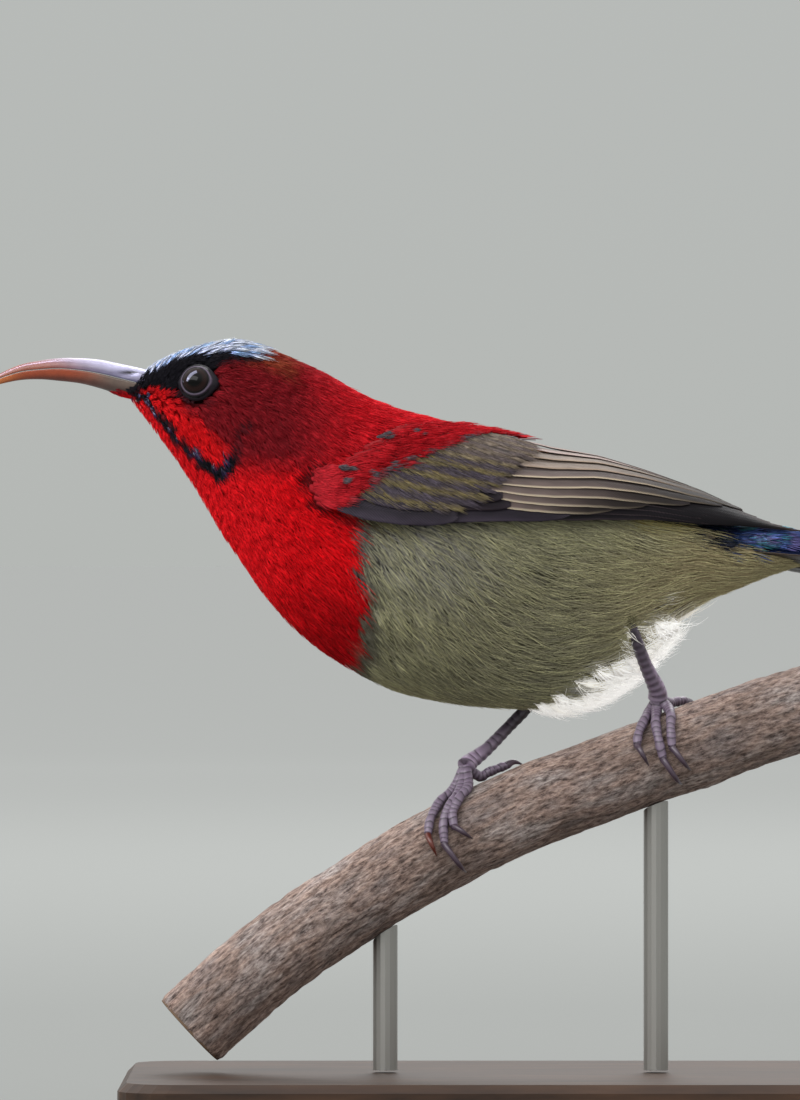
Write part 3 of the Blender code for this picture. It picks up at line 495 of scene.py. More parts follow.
def new_material(name, roughness=0.6, metallic=0.0, base=None, **sockets):
    """A Principled material, its node tree and shader, and the socket of its colour attribute."""
    made = bpy.data.materials.new(name)
    made.use_nodes = True
    tree = made.node_tree
    shader = tree.nodes["Principled BSDF"]
    shader.inputs["Roughness"].default_value = roughness
    shader.inputs["Metallic"].default_value = metallic
    for key, value in sockets.items():
        shader.inputs[key.replace("_", " ")].default_value = value
    if base:
        shader.inputs["Base Color"].default_value = (*linear(base), 1)
        return made, tree, shader, None
    source = attribute_node(tree, "Col", "Color")
    tree.links.new(source, shader.inputs["Base Color"])
    return made, tree, shader, source


def attribute_node(tree, name, output="Fac"):
    node = tree.nodes.new("ShaderNodeAttribute")
    node.attribute_name = name
    return node.outputs[output]


def object_places(tree):
    return tree.nodes.new("ShaderNodeTexCoord").outputs["Object"]


def feed(tree, value, socket):
    """Links an output to a socket, or sets the socket to a number."""
    if hasattr(value, "links"):
        tree.links.new(value, socket)
    else:
        socket.default_value = value


def math_node(tree, operation, *values):
    node = tree.nodes.new("ShaderNodeMath")
    node.operation = operation
    for socket, value in zip(node.inputs, values):
        feed(tree, value, socket)
    return node.outputs[0]


def noise_node(tree, scale, detail=4.0, vector=None, roughness=0.55):
    node = tree.nodes.new("ShaderNodeTexNoise")
    node.inputs["Scale"].default_value = scale
    node.inputs["Detail"].default_value = detail
    node.inputs["Roughness"].default_value = roughness
    tree.links.new(vector or object_places(tree), node.inputs["Vector"])
    return node.outputs["Fac"]


def ramp_node(tree, value, stops):
    """A colour ramp; each stop is a place and an sRGB colour out of 255."""
    node = tree.nodes.new("ShaderNodeValToRGB")
    elements = node.color_ramp.elements
    while len(elements) < len(stops):
        elements.new(0.5)
    for element, (place, colour) in zip(elements, stops):
        element.position = place
        element.color = (*linear(colour), 1)
    tree.links.new(value, node.inputs["Fac"])
    return node.outputs["Color"]


def tint(tree, shader, a, b, share):
    """Multiplies two colours, the second one by a share, into the shader's base colour."""
    tree.links.new(multiply(tree, a, b, share), shader.inputs["Base Color"])


def multiply(tree, a, b, share):
    node = tree.nodes.new("ShaderNodeMix")
    node.data_type = "RGBA"
    node.blend_type = "MULTIPLY"
    node.inputs["Factor"].default_value = share
    tree.links.new(a, node.inputs[6])
    tree.links.new(b, node.inputs[7])
    return node.outputs[2]


def bump(tree, shader, height, strength, distance):
    node = tree.nodes.new("ShaderNodeBump")
    node.inputs["Strength"].default_value = strength
    node.inputs["Distance"].default_value = distance
    tree.links.new(height, node.inputs["Height"])
    tree.links.new(node.outputs["Normal"], shader.inputs["Normal"])


def feather_material(name, roughness, metallic=0.0, gloss=0.12, **sockets):
    """Coat feathers: their own colour with a fine speckle."""
    made, tree, shader, source = new_material(name, roughness, metallic, Specular_IOR_Level=gloss, **sockets)
    speckle = ramp_node(tree, noise_node(tree, 2600, 3), [(0.3, (196, 196, 196)), (0.7, (255, 255, 255))])
    tint(tree, shader, source, speckle, 0.5)
    return made


def vane_material(name, roughness, metallic=0.0, gloss=0.1):
    """Flight feathers: fine slanting barbs as bump and faint streaks, from the Barb attribute."""
    made, tree, shader, source = new_material(name, roughness, metallic, Specular_IOR_Level=gloss)
    wander = math_node(tree, "MULTIPLY", noise_node(tree, 900, 3), 0.5)
    along = math_node(tree, "ADD", attribute_node(tree, "Barb"), wander)
    phase = math_node(tree, "MULTIPLY", along, 2 * math.pi / BARB_SPACING)
    ridge = math_node(tree, "MULTIPLY_ADD", math_node(tree, "SINE", phase), 0.5, 0.5)
    streak = ramp_node(tree, ridge, [(0.0, (150, 150, 150)), (1.0, (255, 255, 255))])
    tint(tree, shader, source, streak, 0.7)
    bump(tree, shader, ridge, 0.35, 0.00006)
    return made


# Markings, with painted shade and painted highlight


def pixel(points):
    """Where points show in the photograph."""
    return PX_ORIGIN[0] + PX_PER_MM * points[..., 0], PX_ORIGIN[1] - PX_PER_MM * points[..., 2]


def line_distance(px, py, marks):
    """Distance in pixels to a polyline, and how far along it, from 0 to 1, the nearest place lies."""
    marks = np.array(marks, float)
    best, along = np.full(px.shape, 1e9), np.zeros(px.shape)
    for k in range(len(marks) - 1):
        a, b = marks[k], marks[k + 1]
        d = b - a
        f = np.clip(((px - a[0]) * d[0] + (py - a[1]) * d[1]) / (d @ d), 0, 1)
        far = np.hypot(px - a[0] - f * d[0], py - a[1] - f * d[1])
        nearer = far < best
        best, along = np.where(nearer, far, best), np.where(nearer, (k + f) / (len(marks) - 1), along)
    return best, along


TOP_LINE = [(row[0], row[1]) for row in BODY]  # the body's top, x and z in millimetres

# Lines in the photograph's pixels
MALAR = [(128, 390), (146, 400), (160, 418), (180, 443), (202, 463), (224, 474), (231, 460)]
BREAST_EDGE = [  # y, x
    (470, 332),
    (500, 346),
    (515, 352),
    (530, 354),
    (560, 356),
    (600, 364),
    (640, 360),
    (658, 348),
    (700, 336),
]
MOUSTACHE = [(148, 392), (175, 420), (200, 440), (216, 452)]
LORE = [(146, 380), (165, 382), (184, 380)]
BRIGHT_EDGE = [(140, 388), (200, 424), (236, 468), (290, 468), (340, 458), (420, 470)]
VENT_EDGE = [(537, 760), (556, 712), (594, 693), (623, 668), (639, 645), (664, 621), (690, 618), (705, 670)]
EYE_PX = (197, 382)
FLANK_PX = (405, 552)
METALLIC_FROM_X = 654
# Pixels between which a marking, a painted shade or a painted highlight fades in
THROAT_X = (310, 240)
MANTLE_X = (280, 360)
LOW_BREAST_X, LOW_BREAST_Y = (240, 340), (550, 640)
BELLY_Y = (470, 500)
UNDERTAIL_X = (540, 700)
PALE_FROM_X, PALE_UNTIL_X, PALE_Y = (440, 500), (700, 640), (585, 530)
BEND_SHADE_X, BEND_SHADE_Y = (470, 430), (533, 525)
RUMP_FROM_X, RUMP_UNTIL_X = (500, 540), (670, 650)
NAPE_FROM_X, NAPE_UNTIL_X = (232, 250), (304, 284)
CROWN_UNTIL_X = (262, 252)
DOWN_X = (700, 670)
METALLIC_DULL_X = (724, 700)
# Depth in millimetres under the head's top of the black crown and of its pale streaks, by pixel x
CROWN_DEPTH = [(215, 2.9), (240, 2.4), (262, 1.7)]
STREAK_BAND = [(146, 1.0), (191, 1.1), (234, 1.4), (262, 0.9)]
WING_FRONT = [(312, 466), (306, 477), (307, 488), (312, 500), (326, 509), (341, 515), (361, 520), (388, 526)]
EAR_LINE = [(246, 423), (240, 434), (236, 445), (232, 458)]
RUMP_EDGE = [(652, 498), (664, 520), (684, 534), (704, 547), (720, 553), (760, 555), (800, 562)]


def follow(value, marks):
    """The second coordinate of a line of marks where the first has this value."""
    return columns_at(marks, value)[0]


def belly_places(px, py):
    """How far behind the breast's edge pixels lie, and 1 where they are low enough for the belly."""
    behind = px - follow(py, BREAST_EDGE)
    return behind, smoothstep(*BELLY_Y, py)


def markings(points, jitter):
    """Coat colour at points on the body, with painted shade and highlight in it, and masks of crown, stripe,
    white vent and metallic rump.
    """
    px, py = pixel(points)
    px = px + jitter[..., 0]
    py = py + jitter[..., 1]
    from_top = follow(points[..., 0], TOP_LINE) - points[..., 2]
    shape = px.shape + (3,)

    def paint(base, colour, mask):
        return mix(base, np.broadcast_to(linear(colour), shape), mask[..., None])

    colour = np.broadcast_to(linear(CRIMSON), shape).copy()
    colour = paint(colour, THROAT_RED, smoothstep(*THROAT_X, px))
    # Maroon from the cheek over the nape and neck side to the mantle.
    dark = smoothstep(18, -18, py - follow(px, BRIGHT_EDGE))
    colour = paint(colour, MAROON, dark)
    colour = paint(colour, MANTLE, dark * smoothstep(*MANTLE_X, px))
    moustache, _ = line_distance(px, py, MOUSTACHE)
    colour = paint(colour, SCARLET, smoothstep(18, 6, moustache) * 0.8)
    # Painted shade darkens the lower breast towards the olive.
    low = smoothstep(*LOW_BREAST_X, px) * smoothstep(*LOW_BREAST_Y, py)
    colour = paint(colour, LOW_BREAST_SHADE, low * 0.7)
    # Belly, flank and rear.
    behind, low_down = belly_places(px, py)
    belly = smoothstep(-3, 3, behind) * low_down
    colour = paint(colour, OLIVE, belly)
    from_flank = np.hypot((px - FLANK_PX[0]) * 0.6, py - FLANK_PX[1])
    colour = paint(colour, FLANK_GREY, belly * smoothstep(80, 20, from_flank) * 0.75)
    colour = paint(colour, UNDERTAIL, belly * smoothstep(*UNDERTAIL_X, px))
    # Painted highlight: the flank just under the wing is lightened.
    pale = smoothstep(*PALE_FROM_X, px) * smoothstep(*PALE_UNTIL_X, px) * smoothstep(*PALE_Y, py)
    colour = paint(colour, FLANK_HIGHLIGHT, belly * pale * 0.6)
    under_bend = smoothstep(*BEND_SHADE_Y, py) * smoothstep(*BEND_SHADE_X, px)
    shadow = belly * np.maximum(smoothstep(34, 4, behind), under_bend)
    colour = paint(colour, FLANK_SHADE, shadow * 0.6)
    vent = belly * smoothstep(-9, 5, py - follow(px, VENT_EDGE))
    colour = paint(colour, VENT_WHITE, vent)
    # Rump, yellow under the wings and metallic by the tail.
    rump = smoothstep(*RUMP_FROM_X, px) * smoothstep(*RUMP_UNTIL_X, px) * smoothstep(4.5, 2.5, from_top)
    colour = paint(colour, RUMP_YELLOW, rump * 0.8)
    tail_side = smoothstep(3, -3, py - follow(px, RUMP_EDGE)) * (px > METALLIC_FROM_X)
    colour = paint(colour, RUMP_BLUE, tail_side)
    # Nape, painted shadow along the wing's bend, crown, eye's rim, lores, malar stripe and ear.
    brown = smoothstep(*NAPE_FROM_X, px) * smoothstep(*NAPE_UNTIL_X, px) * smoothstep(3.6, 1.6, from_top)
    colour = paint(colour, CROWN_BROWN, brown * np.clip(0.75 + 0.6 * wave_noise(points, 2.2, 41), 0.2, 1))
    bend, _ = line_distance(px, py, WING_FRONT)
    colour = paint(colour, BEND_SHADE, smoothstep(9, 3, bend) * 0.85)
    crown = smoothstep(*CROWN_UNTIL_X, px) * smoothstep(0.4, -0.4, from_top - follow(px, CROWN_DEPTH))
    rim = smoothstep(28, 22, np.hypot(px - EYE_PX[0], py - EYE_PX[1]))
    lore, _ = line_distance(px, py, LORE)
    stripe, along = line_distance(px, py, MALAR)
    stripe = smoothstep(1.4, -1.4, stripe - (3.2 + 5.8 * along**1.8))
    ear, _ = line_distance(px, py, EAR_LINE)
    blacks = [crown, smoothstep(11.0, 7.5, lore), 0.85 * rim, stripe, 0.75 * smoothstep(4.0, 1.5, ear)]
    colour = paint(colour, BLACKISH, np.maximum.reduce(blacks))
    return colour, {"crown": crown, "stripe": stripe, "vent": vent, "rump": tail_side}


# Tufts


def coordinates_of(surface, p, q, direction):
    """How the two coordinates change per millimetre along a direction laid on the surface, and across it."""
    step_p, step_q = surface.steps
    _, normal = surface(p, q)
    dp = (surface.point(p + step_p, q) - surface.point(p - step_p, q)) / (2 * step_p)
    dq = (surface.point(p, q + step_q) - surface.point(p, q - step_q)) / (2 * step_q)
    ahead = unit(direction - normal * dot(direction, normal)[..., None])
    across = np.cross(normal, ahead)
    a, b, c = dot(dp, dp), dot(dp, dq), dot(dq, dq)
    det = a * c - b * b

    def solve(d):
        e, f = dot(dp, d), dot(dq, d)
        return (e * c - f * b) / det, (a * f - b * e) / det

    return solve(ahead), solve(across)


def tuft_spec(n, length, half, root, tip, barb_half, barbs, rings, ragged, curl, stand, **other):
    """The settings of a patch of n tufts: sizes in millimetres by tuft, then how their barbs are made."""
    by_tuft = {"length": length, "half": half, "root": root, "tip": tip, "barb_half": barb_half}
    spec = {key: value * np.ones(n) for key, value in by_tuft.items()}
    spec.update(barbs=barbs, rings=rings, ragged=ragged, curl=curl, stand=stand)
    spec.update(leaf_drop=0.1, root_shade=0.65, contrast=0.14, power=1.0)
    spec.update(other)
    return spec


def layer_of(surface, p, q, direction, spec):
    """A function that lays points at u along and v across each tuft, raised by lift, with their normals."""
    (ap, aq), (bp, bq) = coordinates_of(surface, p, q, direction)

    def lay(u, v, lift):
        by_tuft = (slice(None),) + (None,) * (u.ndim - 1)
        along, side = u * spec["length"][by_tuft], v * spec["half"][by_tuft]
        points, normals = surface(
            p[by_tuft] + ap[by_tuft] * along + bp[by_tuft] * side,
            q[by_tuft] + aq[by_tuft] * along + bq[by_tuft] * side,
        )
        root, tip = spec["root"][by_tuft], spec["tip"][by_tuft]
        rise = root + (tip - root) * np.clip(u, 0, 1) ** 0.8 + lift
        return points + normals * rise[..., None], normals

    return lay


def bake_patch(u, v, bake_at):
    """Bake coordinates of tufts' points: a small patch round each tuft's own place."""
    return np.stack([u - 0.5, v * 0.5], -1) * BAKE_PATCH + bake_at[:, None, None]


def grow_leaves(lay, spec, colour, bake_at):
    """The closed leaf under each tuft, darkened by painted shade, most at its root."""
    shape = (len(colour), len(LEAF_ALONG), len(LEAF_ACROSS))
    u = np.broadcast_to(LEAF_ALONG[:, None], shape)
    v = np.broadcast_to(LEAF_WIDE[:, None] * LEAF_ACROSS, shape)
    rings, _ = lay(u, v, np.broadcast_to(LEAF_RISE, shape) - spec["leaf_drop"])
    shade = mix(0.6, 0.85, u)[..., None] * colour[:, None, None]
    return rings, shade, bake_patch(u, v, bake_at)


def grow_barbs(lay, spec, colour, tip_colour, bake_at):
    """The closed barbs of each tuft, which leave the shaft slanting and turn to lie along it."""
    barbs = spec["barbs"]
    each = (len(colour), barbs, 1)
    v_end = (np.arange(barbs) + 0.5) / barbs * 2 - 1 + rng.normal(0, 0.10, each[:2])
    u_start = 0.12 + 0.38 * (1 - np.abs(v_end)) * rng.uniform(0.6, 1.1, each[:2])
    u_end = 1.0 - 0.2 * v_end**2 + rng.normal(0, spec["ragged"], each[:2])
    tau = np.linspace(0, 1, spec["rings"])[None, None]
    u = u_start[..., None] + (u_end - u_start)[..., None] * tau
    v = v_end[..., None] * (1 - (1 - tau) ** 2)
    v = v + rng.normal(0, spec["curl"], each) * tau**2
    stand = rng.normal(0, spec["stand"], each) * tau**1.5 + 0.02 * rng.normal(size=each)
    spine, normals = lay(u, v, stand - 0.05 * v**2)
    across = unit(np.cross(normals, unit(np.gradient(spine, axis=2))))
    taper = np.minimum(1.0, 1.25 * (1.06 - tau)) ** 0.7
    wide = (spec["barb_half"][:, None, None] * taper * rng.uniform(0.8, 1.25, each))[..., None]
    rings = np.stack([spine + across * (wide * a) + normals * (wide * b) for a, b in BARB_CORNERS], 3)
    bright = rng.normal(1.0, spec["contrast"], each).clip(0.45, 1.7)
    paleness = rng.uniform(0.25, 1.0, each) ** spec["power"]
    ground = colour[:, None, None]
    end = mix(ground, tip_colour[:, None, None], paleness[..., None])
    # Barbs darken towards their roots: partly their greyer bases, partly painted shade under the overlapping
    # tufts.
    shade = mix(ground * spec["root_shade"], end, (tau**0.7)[..., None]) * bright[..., None]
    shade = np.broadcast_to(shade[:, :, :, None], rings.shape)
    patch = np.broadcast_to(bake_patch(u, v, bake_at)[:, :, :, None], rings.shape[:-1] + (2,))
    return [a.reshape((-1,) + a.shape[2:]) for a in (rings, shade, patch)]


def grow(surface, p, q, direction, spec, colour, tip_colour, bake_at):
    """Leaves and barbs for one kind of tuft: rings, colours and bake places of each."""
    lay = layer_of(surface, p, q, direction, spec)
    return grow_leaves(lay, spec, colour, bake_at), grow_barbs(lay, spec, colour, tip_colour, bake_at)


def add_coat(name, grown, material, slot):
    """Makes the pieces of a coat from grown strips, each under the limit of triangles."""
    for kind, (rings, shade, patch) in zip(("leaf", "barb"), grown):
        stations, around = rings.shape[1:3]
        triangles = (stations - 1) * around * 2 + 2 * (around - 2)
        batch = COAT_PIECE_TRIANGLES // triangles
        for start in range(0, len(rings), batch):
            part = slice(start, start + batch)
            label = f"{name}_{kind}_{start // batch}"
            settle(strips_object(label, rings[part], shade[part].clip(0, 1), material, patch[part]), slot)


def path_length(points):
    """How far along a path each of its points lies."""
    return np.concatenate([[0], np.cumsum(np.linalg.norm(np.diff(points, axis=0), axis=1))])


def body_roots():
    """Roots for the body's tufts in staggered rows from bill to tail."""
    s = np.linspace(0, 1, 400)
    side = body_point(s, np.full_like(s, math.pi))
    run = path_length(side)
    found_s, found_t = [], []
    at, row = 0.15, 0
    while at < run[-1] - 0.5:
        here = float(np.interp(at, run, s))
        x = float(np.interp(here, s, side[:, 0]))
        gap = float(follow(x, TUFT_GAPS))
        t = np.linspace(0, 2 * math.pi, 181)
        round_run = path_length(body_point(np.full_like(t, here), t))
        count = max(8, int(round_run[-1] / gap))
        places = (np.arange(count) + 0.5 * (row % 2)) / count * round_run[-1]
        places = places + rng.normal(0, 0.16 * gap, count)
        found_t.append(np.interp(places % round_run[-1], round_run, t))
        found_s.append(here + rng.normal(0, 0.16 * gap, count) * 0.8 / run[-1])
        at += gap * 0.78
        row += 1
    return np.concatenate(found_s).clip(0.001, 1.0), np.concatenate(found_t)


def under_wing(x, z):
    """Where the folded wing hides the body, so that no tuft is needed."""
    low_z, _, _ = columns_at(WING, x)
    inside = (x > -17) & (x < 30) & (z > low_z + 1.6)
    return inside & (wing_share(x, z) < follow(x, COVER_TOP) - 0.12)


def eye_clearance(points, eyes):
    """Distance of points from the axis of the eye on their side, and how far ahead of it they lie."""
    nearest, ahead = np.full(len(points), 1e9), np.zeros(len(points))
    for centre, normal in eyes.values():
        offset = points - centre
        flat = offset - normal * dot(offset, normal)[:, None]
        distance = np.where(dot(offset, normal) > 0, np.linalg.norm(flat, axis=1), 1e9)
        ahead = np.where(distance < nearest, -flat[:, 0], ahead)
        nearest = np.minimum(nearest, distance)
    return nearest, ahead


def eye_places():
    """Centre and outward normal of each eye, on the body's surface."""
    places = {}
    depth = math.sqrt(EYE_RADIUS**2 - EYE_APERTURE**2)
    s, t = np.meshgrid(np.linspace(0.1, 0.4, 240), np.linspace(0, 2 * math.pi, 360), indexing="ij")
    points, normals = body_surface(s, t)
    from_eye = np.hypot(points[..., 0] - EYE_AT[0], points[..., 2] - EYE_AT[1])
    for name, side in SIDES.items():
        miss = from_eye + 100 * (points[..., 1] * side < 0)
        best = np.unravel_index(np.argmin(miss), miss.shape)
        places[name] = (points[best] - normals[best] * depth, normals[best])
    return places


def flow_at(points):
    """The lie of the coat: back along the body, steep on breast and fore flank, rising by the tail."""
    x, y, z = points[..., 0], points[..., 1], points[..., 2]
    flow = np.stack([np.ones_like(x), np.zeros_like(x), -0.35 * np.ones_like(x)], -1)
    throat = smoothstep(-20, -38, x) * smoothstep(92, 84, z)
    breast = smoothstep(4, -10, x) * smoothstep(-34, -24, x)
    crown = smoothstep(90, 94, z) * smoothstep(-28, -36, x)
    fore_flank = smoothstep(-1, -13, x) * smoothstep(-24, -16, x) * smoothstep(76, 70, z)
    belly = smoothstep(66, 56, z) * smoothstep(-4, 8, x)
    rear = smoothstep(10, 24, x) * smoothstep(70, 60, z)
    brow = smoothstep(-33, -41, x) * smoothstep(87, 90, z)
    flow[..., 2] += 0.9 * brow
    flow[..., 2] += -0.9 * throat - 0.45 * breast + 0.35 * crown - 0.7 * fore_flank + 0.4 * belly + 0.3 * rear
    flow[..., 1] += np.sign(y) * -0.12 * belly
    swirl = 0.22 * wave_noise(points, 19.0, 8) * smoothstep(-14, 0, x)
    flow[..., 2] += 0.12 * wave_noise(points, 7.0, 3) + swirl
    flow[..., 2] += 0.28 * wave_noise(points, 5.0, 77) * smoothstep(-10, 0, x)
    flow[..., 1] += 0.10 * wave_noise(points, 7.0, 5)
    return flow


def body_tufts(eyes):
    """All values of the body's tufts by name, one of each a tuft."""
    s, t = body_roots()
    points, _ = body_surface(s, t)
    near_eye, ahead_of_eye = eye_clearance(points, eyes)
    lid = EYE_APERTURE + 0.05
    keep = ~under_wing(points[:, 0], points[:, 2]) & (near_eye > lid)
    s, t, points, near_eye, ahead_of_eye = (a[keep] for a in (s, t, points, near_eye, ahead_of_eye))
    x, y, z = points.T
    px, py = pixel(points)
    n = len(s)
    jitter = rng.normal(0, 1, (n, 2)) * follow(x, TUFT_JITTER)[:, None]
    direction = flow_at(points)
    length = follow(x, TUFT_LENGTHS)
    # A tuft shows where its middle lies, so that is where its colour is taken.
    colour, masks = markings(points + unit(direction) * (length * 0.55)[:, None], jitter)
    vent, rump = masks["vent"], masks["rump"]
    direction = mix(direction, np.array([0.7, 0.0, -1.0]), (vent * smoothstep(*DOWN_X, px) * 0.8)[:, None])
    length = length * rng.uniform(0.85, 1.15, n) * (1 - 0.35 * vent) * (1 - 0.45 * rump)
    by_eye = (ahead_of_eye > 0) & (near_eye < lid + length)
    length = np.where(by_eye, np.clip(near_eye - lid + 0.2, 0.4, length), length)
    half = length * follow(x, TUFT_SLIMNESS)
    # The down lies flat where the left shank passes in front of it.
    shank_x = np.interp(z, [52.7, 61.2], [19.2, 16.2])
    by_shank = smoothstep(3.4, 2.4, np.abs(x - shank_x + 1.2)) * (y < 0) * vent
    tip = 0.02 + 0.16 * smoothstep(-20, 0, x) + vent * 1.3 * (1 - by_shank) - 0.06 * smoothstep(-36, -42, x)
    length = length * (1 - 0.35 * by_shank)
    bright = rng.normal(1, 0.06, (n, 1)).clip(0.8, 1.2)
    behind, low_down = belly_places(px, py)
    belly = smoothstep(-6, 6, behind) * low_down
    pale = mix(colour * 1.5, linear(PALE_OLIVE), (belly * 0.85 * (1 - vent) * (1 - rump))[:, None])
    chance = rng.random(n)
    from_top = follow(x, TOP_LINE) - z
    on_band = (from_top < follow(px, STREAK_BAND)) & (z > 91.2)
    streak = (masks["crown"] > 0.5) & on_band & (chance < 0.88)
    shiny = streak | ((masks["stripe"] > 0.5) & (chance < 0.3)) | (rump > 0.5)
    return {
        "s": s,
        "t": t,
        "x": x,
        "px": px,
        "direction": direction,
        "length": length * np.where(streak, 1.5, 1.0),
        "half": half * np.where(streak, 0.52, 1.0),
        "tip": tip + np.where(streak, 0.2, 0.02 * shiny),
        "barb_half": follow(x, BARB_HALVES),
        "colour": colour * bright,
        "pale": pale * bright,
        "bake_at": np.column_stack([0.02 + 0.94 * s, 0.02 + 0.94 * (t / (2 * math.pi) % 1)]),
        "streak": streak,
        "rump": rump > 0.5,
        "shiny": shiny,
        "white": ~shiny & (vent >= 0.5),
        "plain": ~shiny & (vent < 0.5),
        "red": belly < 0.5,
    }


def make_body_coat(eyes):
    """The whole coat of head, neck and torso in grades of fineness, with its metallic feathers."""
    tufts = body_tufts(eyes)
    x, plain, red = tufts["x"], tufts["plain"], tufts["red"]
    feather = feather_material("feather", 0.7)
    gloss = feather_material("feather_metallic", 0.35, 0.15, 0.5)
    # The down glows faintly: painted light in place of light shining through it from behind.
    down = feather_material("feather_down_glowing", 0.8, Emission_Color=DOWN_GLOW, Emission_Strength=0.3)
    head, neck, behind = x < -25, (x >= -25) & (x < -12), x >= -12
    # Each grade: chosen tufts, material, slot; barbs, rings, ragged, curl, stand; root shade, contrast, power
    grades = {
        "coat_head": (plain & head, feather, "head", (9, 3, 0.11, 0.05, 0.03), (0.66, 0.13, 1.0)),
        "coat_neck": (plain & neck, feather, "neck", (12, 4, 0.15, 0.07, 0.05), (0.66, 0.14, 1.0)),
        "coat_breast": (plain & behind & red, feather, "torso", (14, 4, 0.14, 0.07, 0.06), (0.66, 0.14, 1.0)),
        "coat_belly": (plain & behind & ~red, feather, "torso", (15, 5, 0.14, 0.30, 0.09), (0.66, 0.13, 1.7)),
        "coat_vent": (tufts["white"], down, "torso", (18, 4, 0.30, 0.40, 0.42), (1.0, 0.05, 1.0)),
        "coat_metallic": (tufts["shiny"], gloss, "head", (7, 3, 0.05, 0.03, 0.03), (0.4, 0.3, 1.0)),
    }
    for name, (chosen, material, slot, habit, tones) in grades.items():
        one = {key: values[chosen] for key, values in tufts.items()}
        root = np.interp(one["x"], [-34, -20], [-0.45, 0.1 - COAT_DEPTH])
        tones = dict(zip(("root_shade", "contrast", "power"), tones), leaf_drop=0.2)
        sizes = (one["length"], one["half"], root, one["tip"], one["barb_half"])
        spec = tuft_spec(len(root), *sizes, *habit, **tones)
        colours = one["colour"], one["pale"]
        if name == "coat_metallic":
            dull = one["rump"] * smoothstep(*METALLIC_DULL_X, one["px"])
            roots, ends = metallic_colours(one["streak"], one["rump"])
            colours = roots * (1 - 0.6 * dull)[:, None], ends * (1 - 0.9 * dull)[:, None]
        grown = grow(body_surface, one["s"], one["t"], one["direction"], spec, *colours, one["bake_at"])
        add_coat(name, grown, material, slot)


def chin_point(x, turn):
    """The lower mandible's base: x along it and the turn round it from its keel."""
    _, line, keel, half = columns_at(BILL[::-1], x)
    return np.stack([x, half * np.sin(turn), line - (line - keel) * np.cos(turn)], -1)


def chin_outward(points):
    return points * [0, 1, 1] - np.array([0, 0, 92.5])


def make_chin():
    """Red feathers that reach forward over the base of the lower mandible."""
    x, turn = np.meshgrid(np.arange(-47.9, -43.2, 0.42), np.arange(-1.5, 1.51, 0.25), indexing="ij")
    x, turn = x + rng.normal(0, 0.08, x.shape), turn + rng.normal(0, 0.05, x.shape)
    keep = np.abs(turn) < np.interp(x, [-48.0, -46.8, -45.2, -44.0], [0.3, 0.9, 1.25, 1.55])
    x, turn = x[keep], turn[keep]
    n = len(x)
    surface = surface_of(chin_point, 0.1, 0.05, chin_outward)
    direction = np.tile([1.0, 0.0, -0.45], (n, 1))
    tip = np.interp(x, [-48, -46], [0.16, 0.34])
    spec = tuft_spec(n, rng.uniform(1.1, 1.5, n), 0.36, -0.12, tip, 0.05, 9, 3, 0.12, 0.06, 0.03)
    colour, _ = markings(surface.point(x, turn) + unit(direction) * 0.7, np.zeros((n, 2)))
    bake_at = np.column_stack([0.1 + 0.8 * (x + 48) / 5, 0.5 + turn / 4])
    grown = grow(surface, x, turn, direction, spec, colour, colour * 1.4, bake_at)
    add_coat("coat_chin", grown, bpy.data.materials["feather"], "head")


def thigh_surface(top, low):
    """A cone round the top of a shank: reach down it and angle round it."""
    top, low = np.array(top), np.array(low)
    axis = unit(low - top)
    side = unit(np.cross(axis, [0.0, 1.0, 0.0]))
    front = np.cross(side, axis)

    def point(reach, angle):
        radius = np.interp(reach, [-1, 1.0, 4], [0.9, 1.05, 0.9])
        round_it = np.cos(angle)[..., None] * side + np.sin(angle)[..., None] * front
        return top + reach[..., None] * axis + radius[..., None] * round_it

    def outward(points):
        offset = points - top
        return offset - dot(offset, axis)[..., None] * axis

    return surface_of(point, 0.2, 0.05, outward), axis


def make_thighs():
    """Short olive feathers that end round the top of each shank, darker than the belly: painted shade."""
    for name, (top, low) in THIGHS.items():
        surface, axis = thigh_surface(top, low)
        reach, angle = np.meshgrid(np.arange(-1.2, 0.6, 0.45), np.arange(0, 2 * math.pi, 0.42), indexing="ij")
        reach = (reach + rng.normal(0, 0.12, reach.shape)).ravel()
        angle = (angle + rng.normal(0, 0.1, angle.shape)).ravel()
        n = len(reach)
        spec = tuft_spec(n, rng.uniform(1.3, 1.9, n), 0.45, -0.2, 0.08, 0.045, 10, 4, 0.25, 0.3, 0.1)
        # Darker olive and dimmed tips: painted shade under the body.
        ground = np.tile(linear(THIGH_SHADED_OLIVE), (n, 1)) * rng.uniform(0.7, 1.2, (n, 1))
        ends = np.tile(linear(PALE_OLIVE) * 0.5, (n, 1))
        bake_at = np.column_stack([0.1 + 0.2 * (reach + 1), 0.05 + 0.9 * angle / 7])
        grown = grow(surface, reach, angle, np.tile(axis, (n, 1)), spec, ground, ends, bake_at)
        add_coat(f"coat_thigh_{name}", grown, bpy.data.materials["feather"], "torso")


def metallic_colours(streak, rump):
    """Root and tip colours of crown streaks, rump feathers and the violet-glossed malar stripe."""
    n = len(streak)
    streak, rump = streak[:, None], rump[:, None]
    pick = rng.random((n, 1))
    pale = np.where(pick < 0.68, linear(CROWN_PALE), linear(CROWN_BLUE))
    gloss = np.where(pick < 0.8, linear(GLOSS_TEAL), linear(GLOSS_VIOLET))
    gloss = np.where(pick < 0.45, linear(GLOSS_BLUE), gloss)
    ends = np.where(streak, pale, np.where(rump, gloss, linear(STRIPE_VIOLET)))
    ends = ends * np.where(streak, rng.uniform(1.0, 1.5, (n, 1)), rng.uniform(0.6, 1.15, (n, 1)))
    return np.where(streak, linear(CROWN_ROOT), linear(GLOSS_ROOT)), ends


def grid_of(rings, around, low, high):
    """Two arrays for the rings and the points round them: from low to high, and a whole turn."""
    turn = np.linspace(0, 2 * math.pi, around, endpoint=False)
    return np.meshgrid(np.linspace(low, high, rings), turn, indexing="ij")


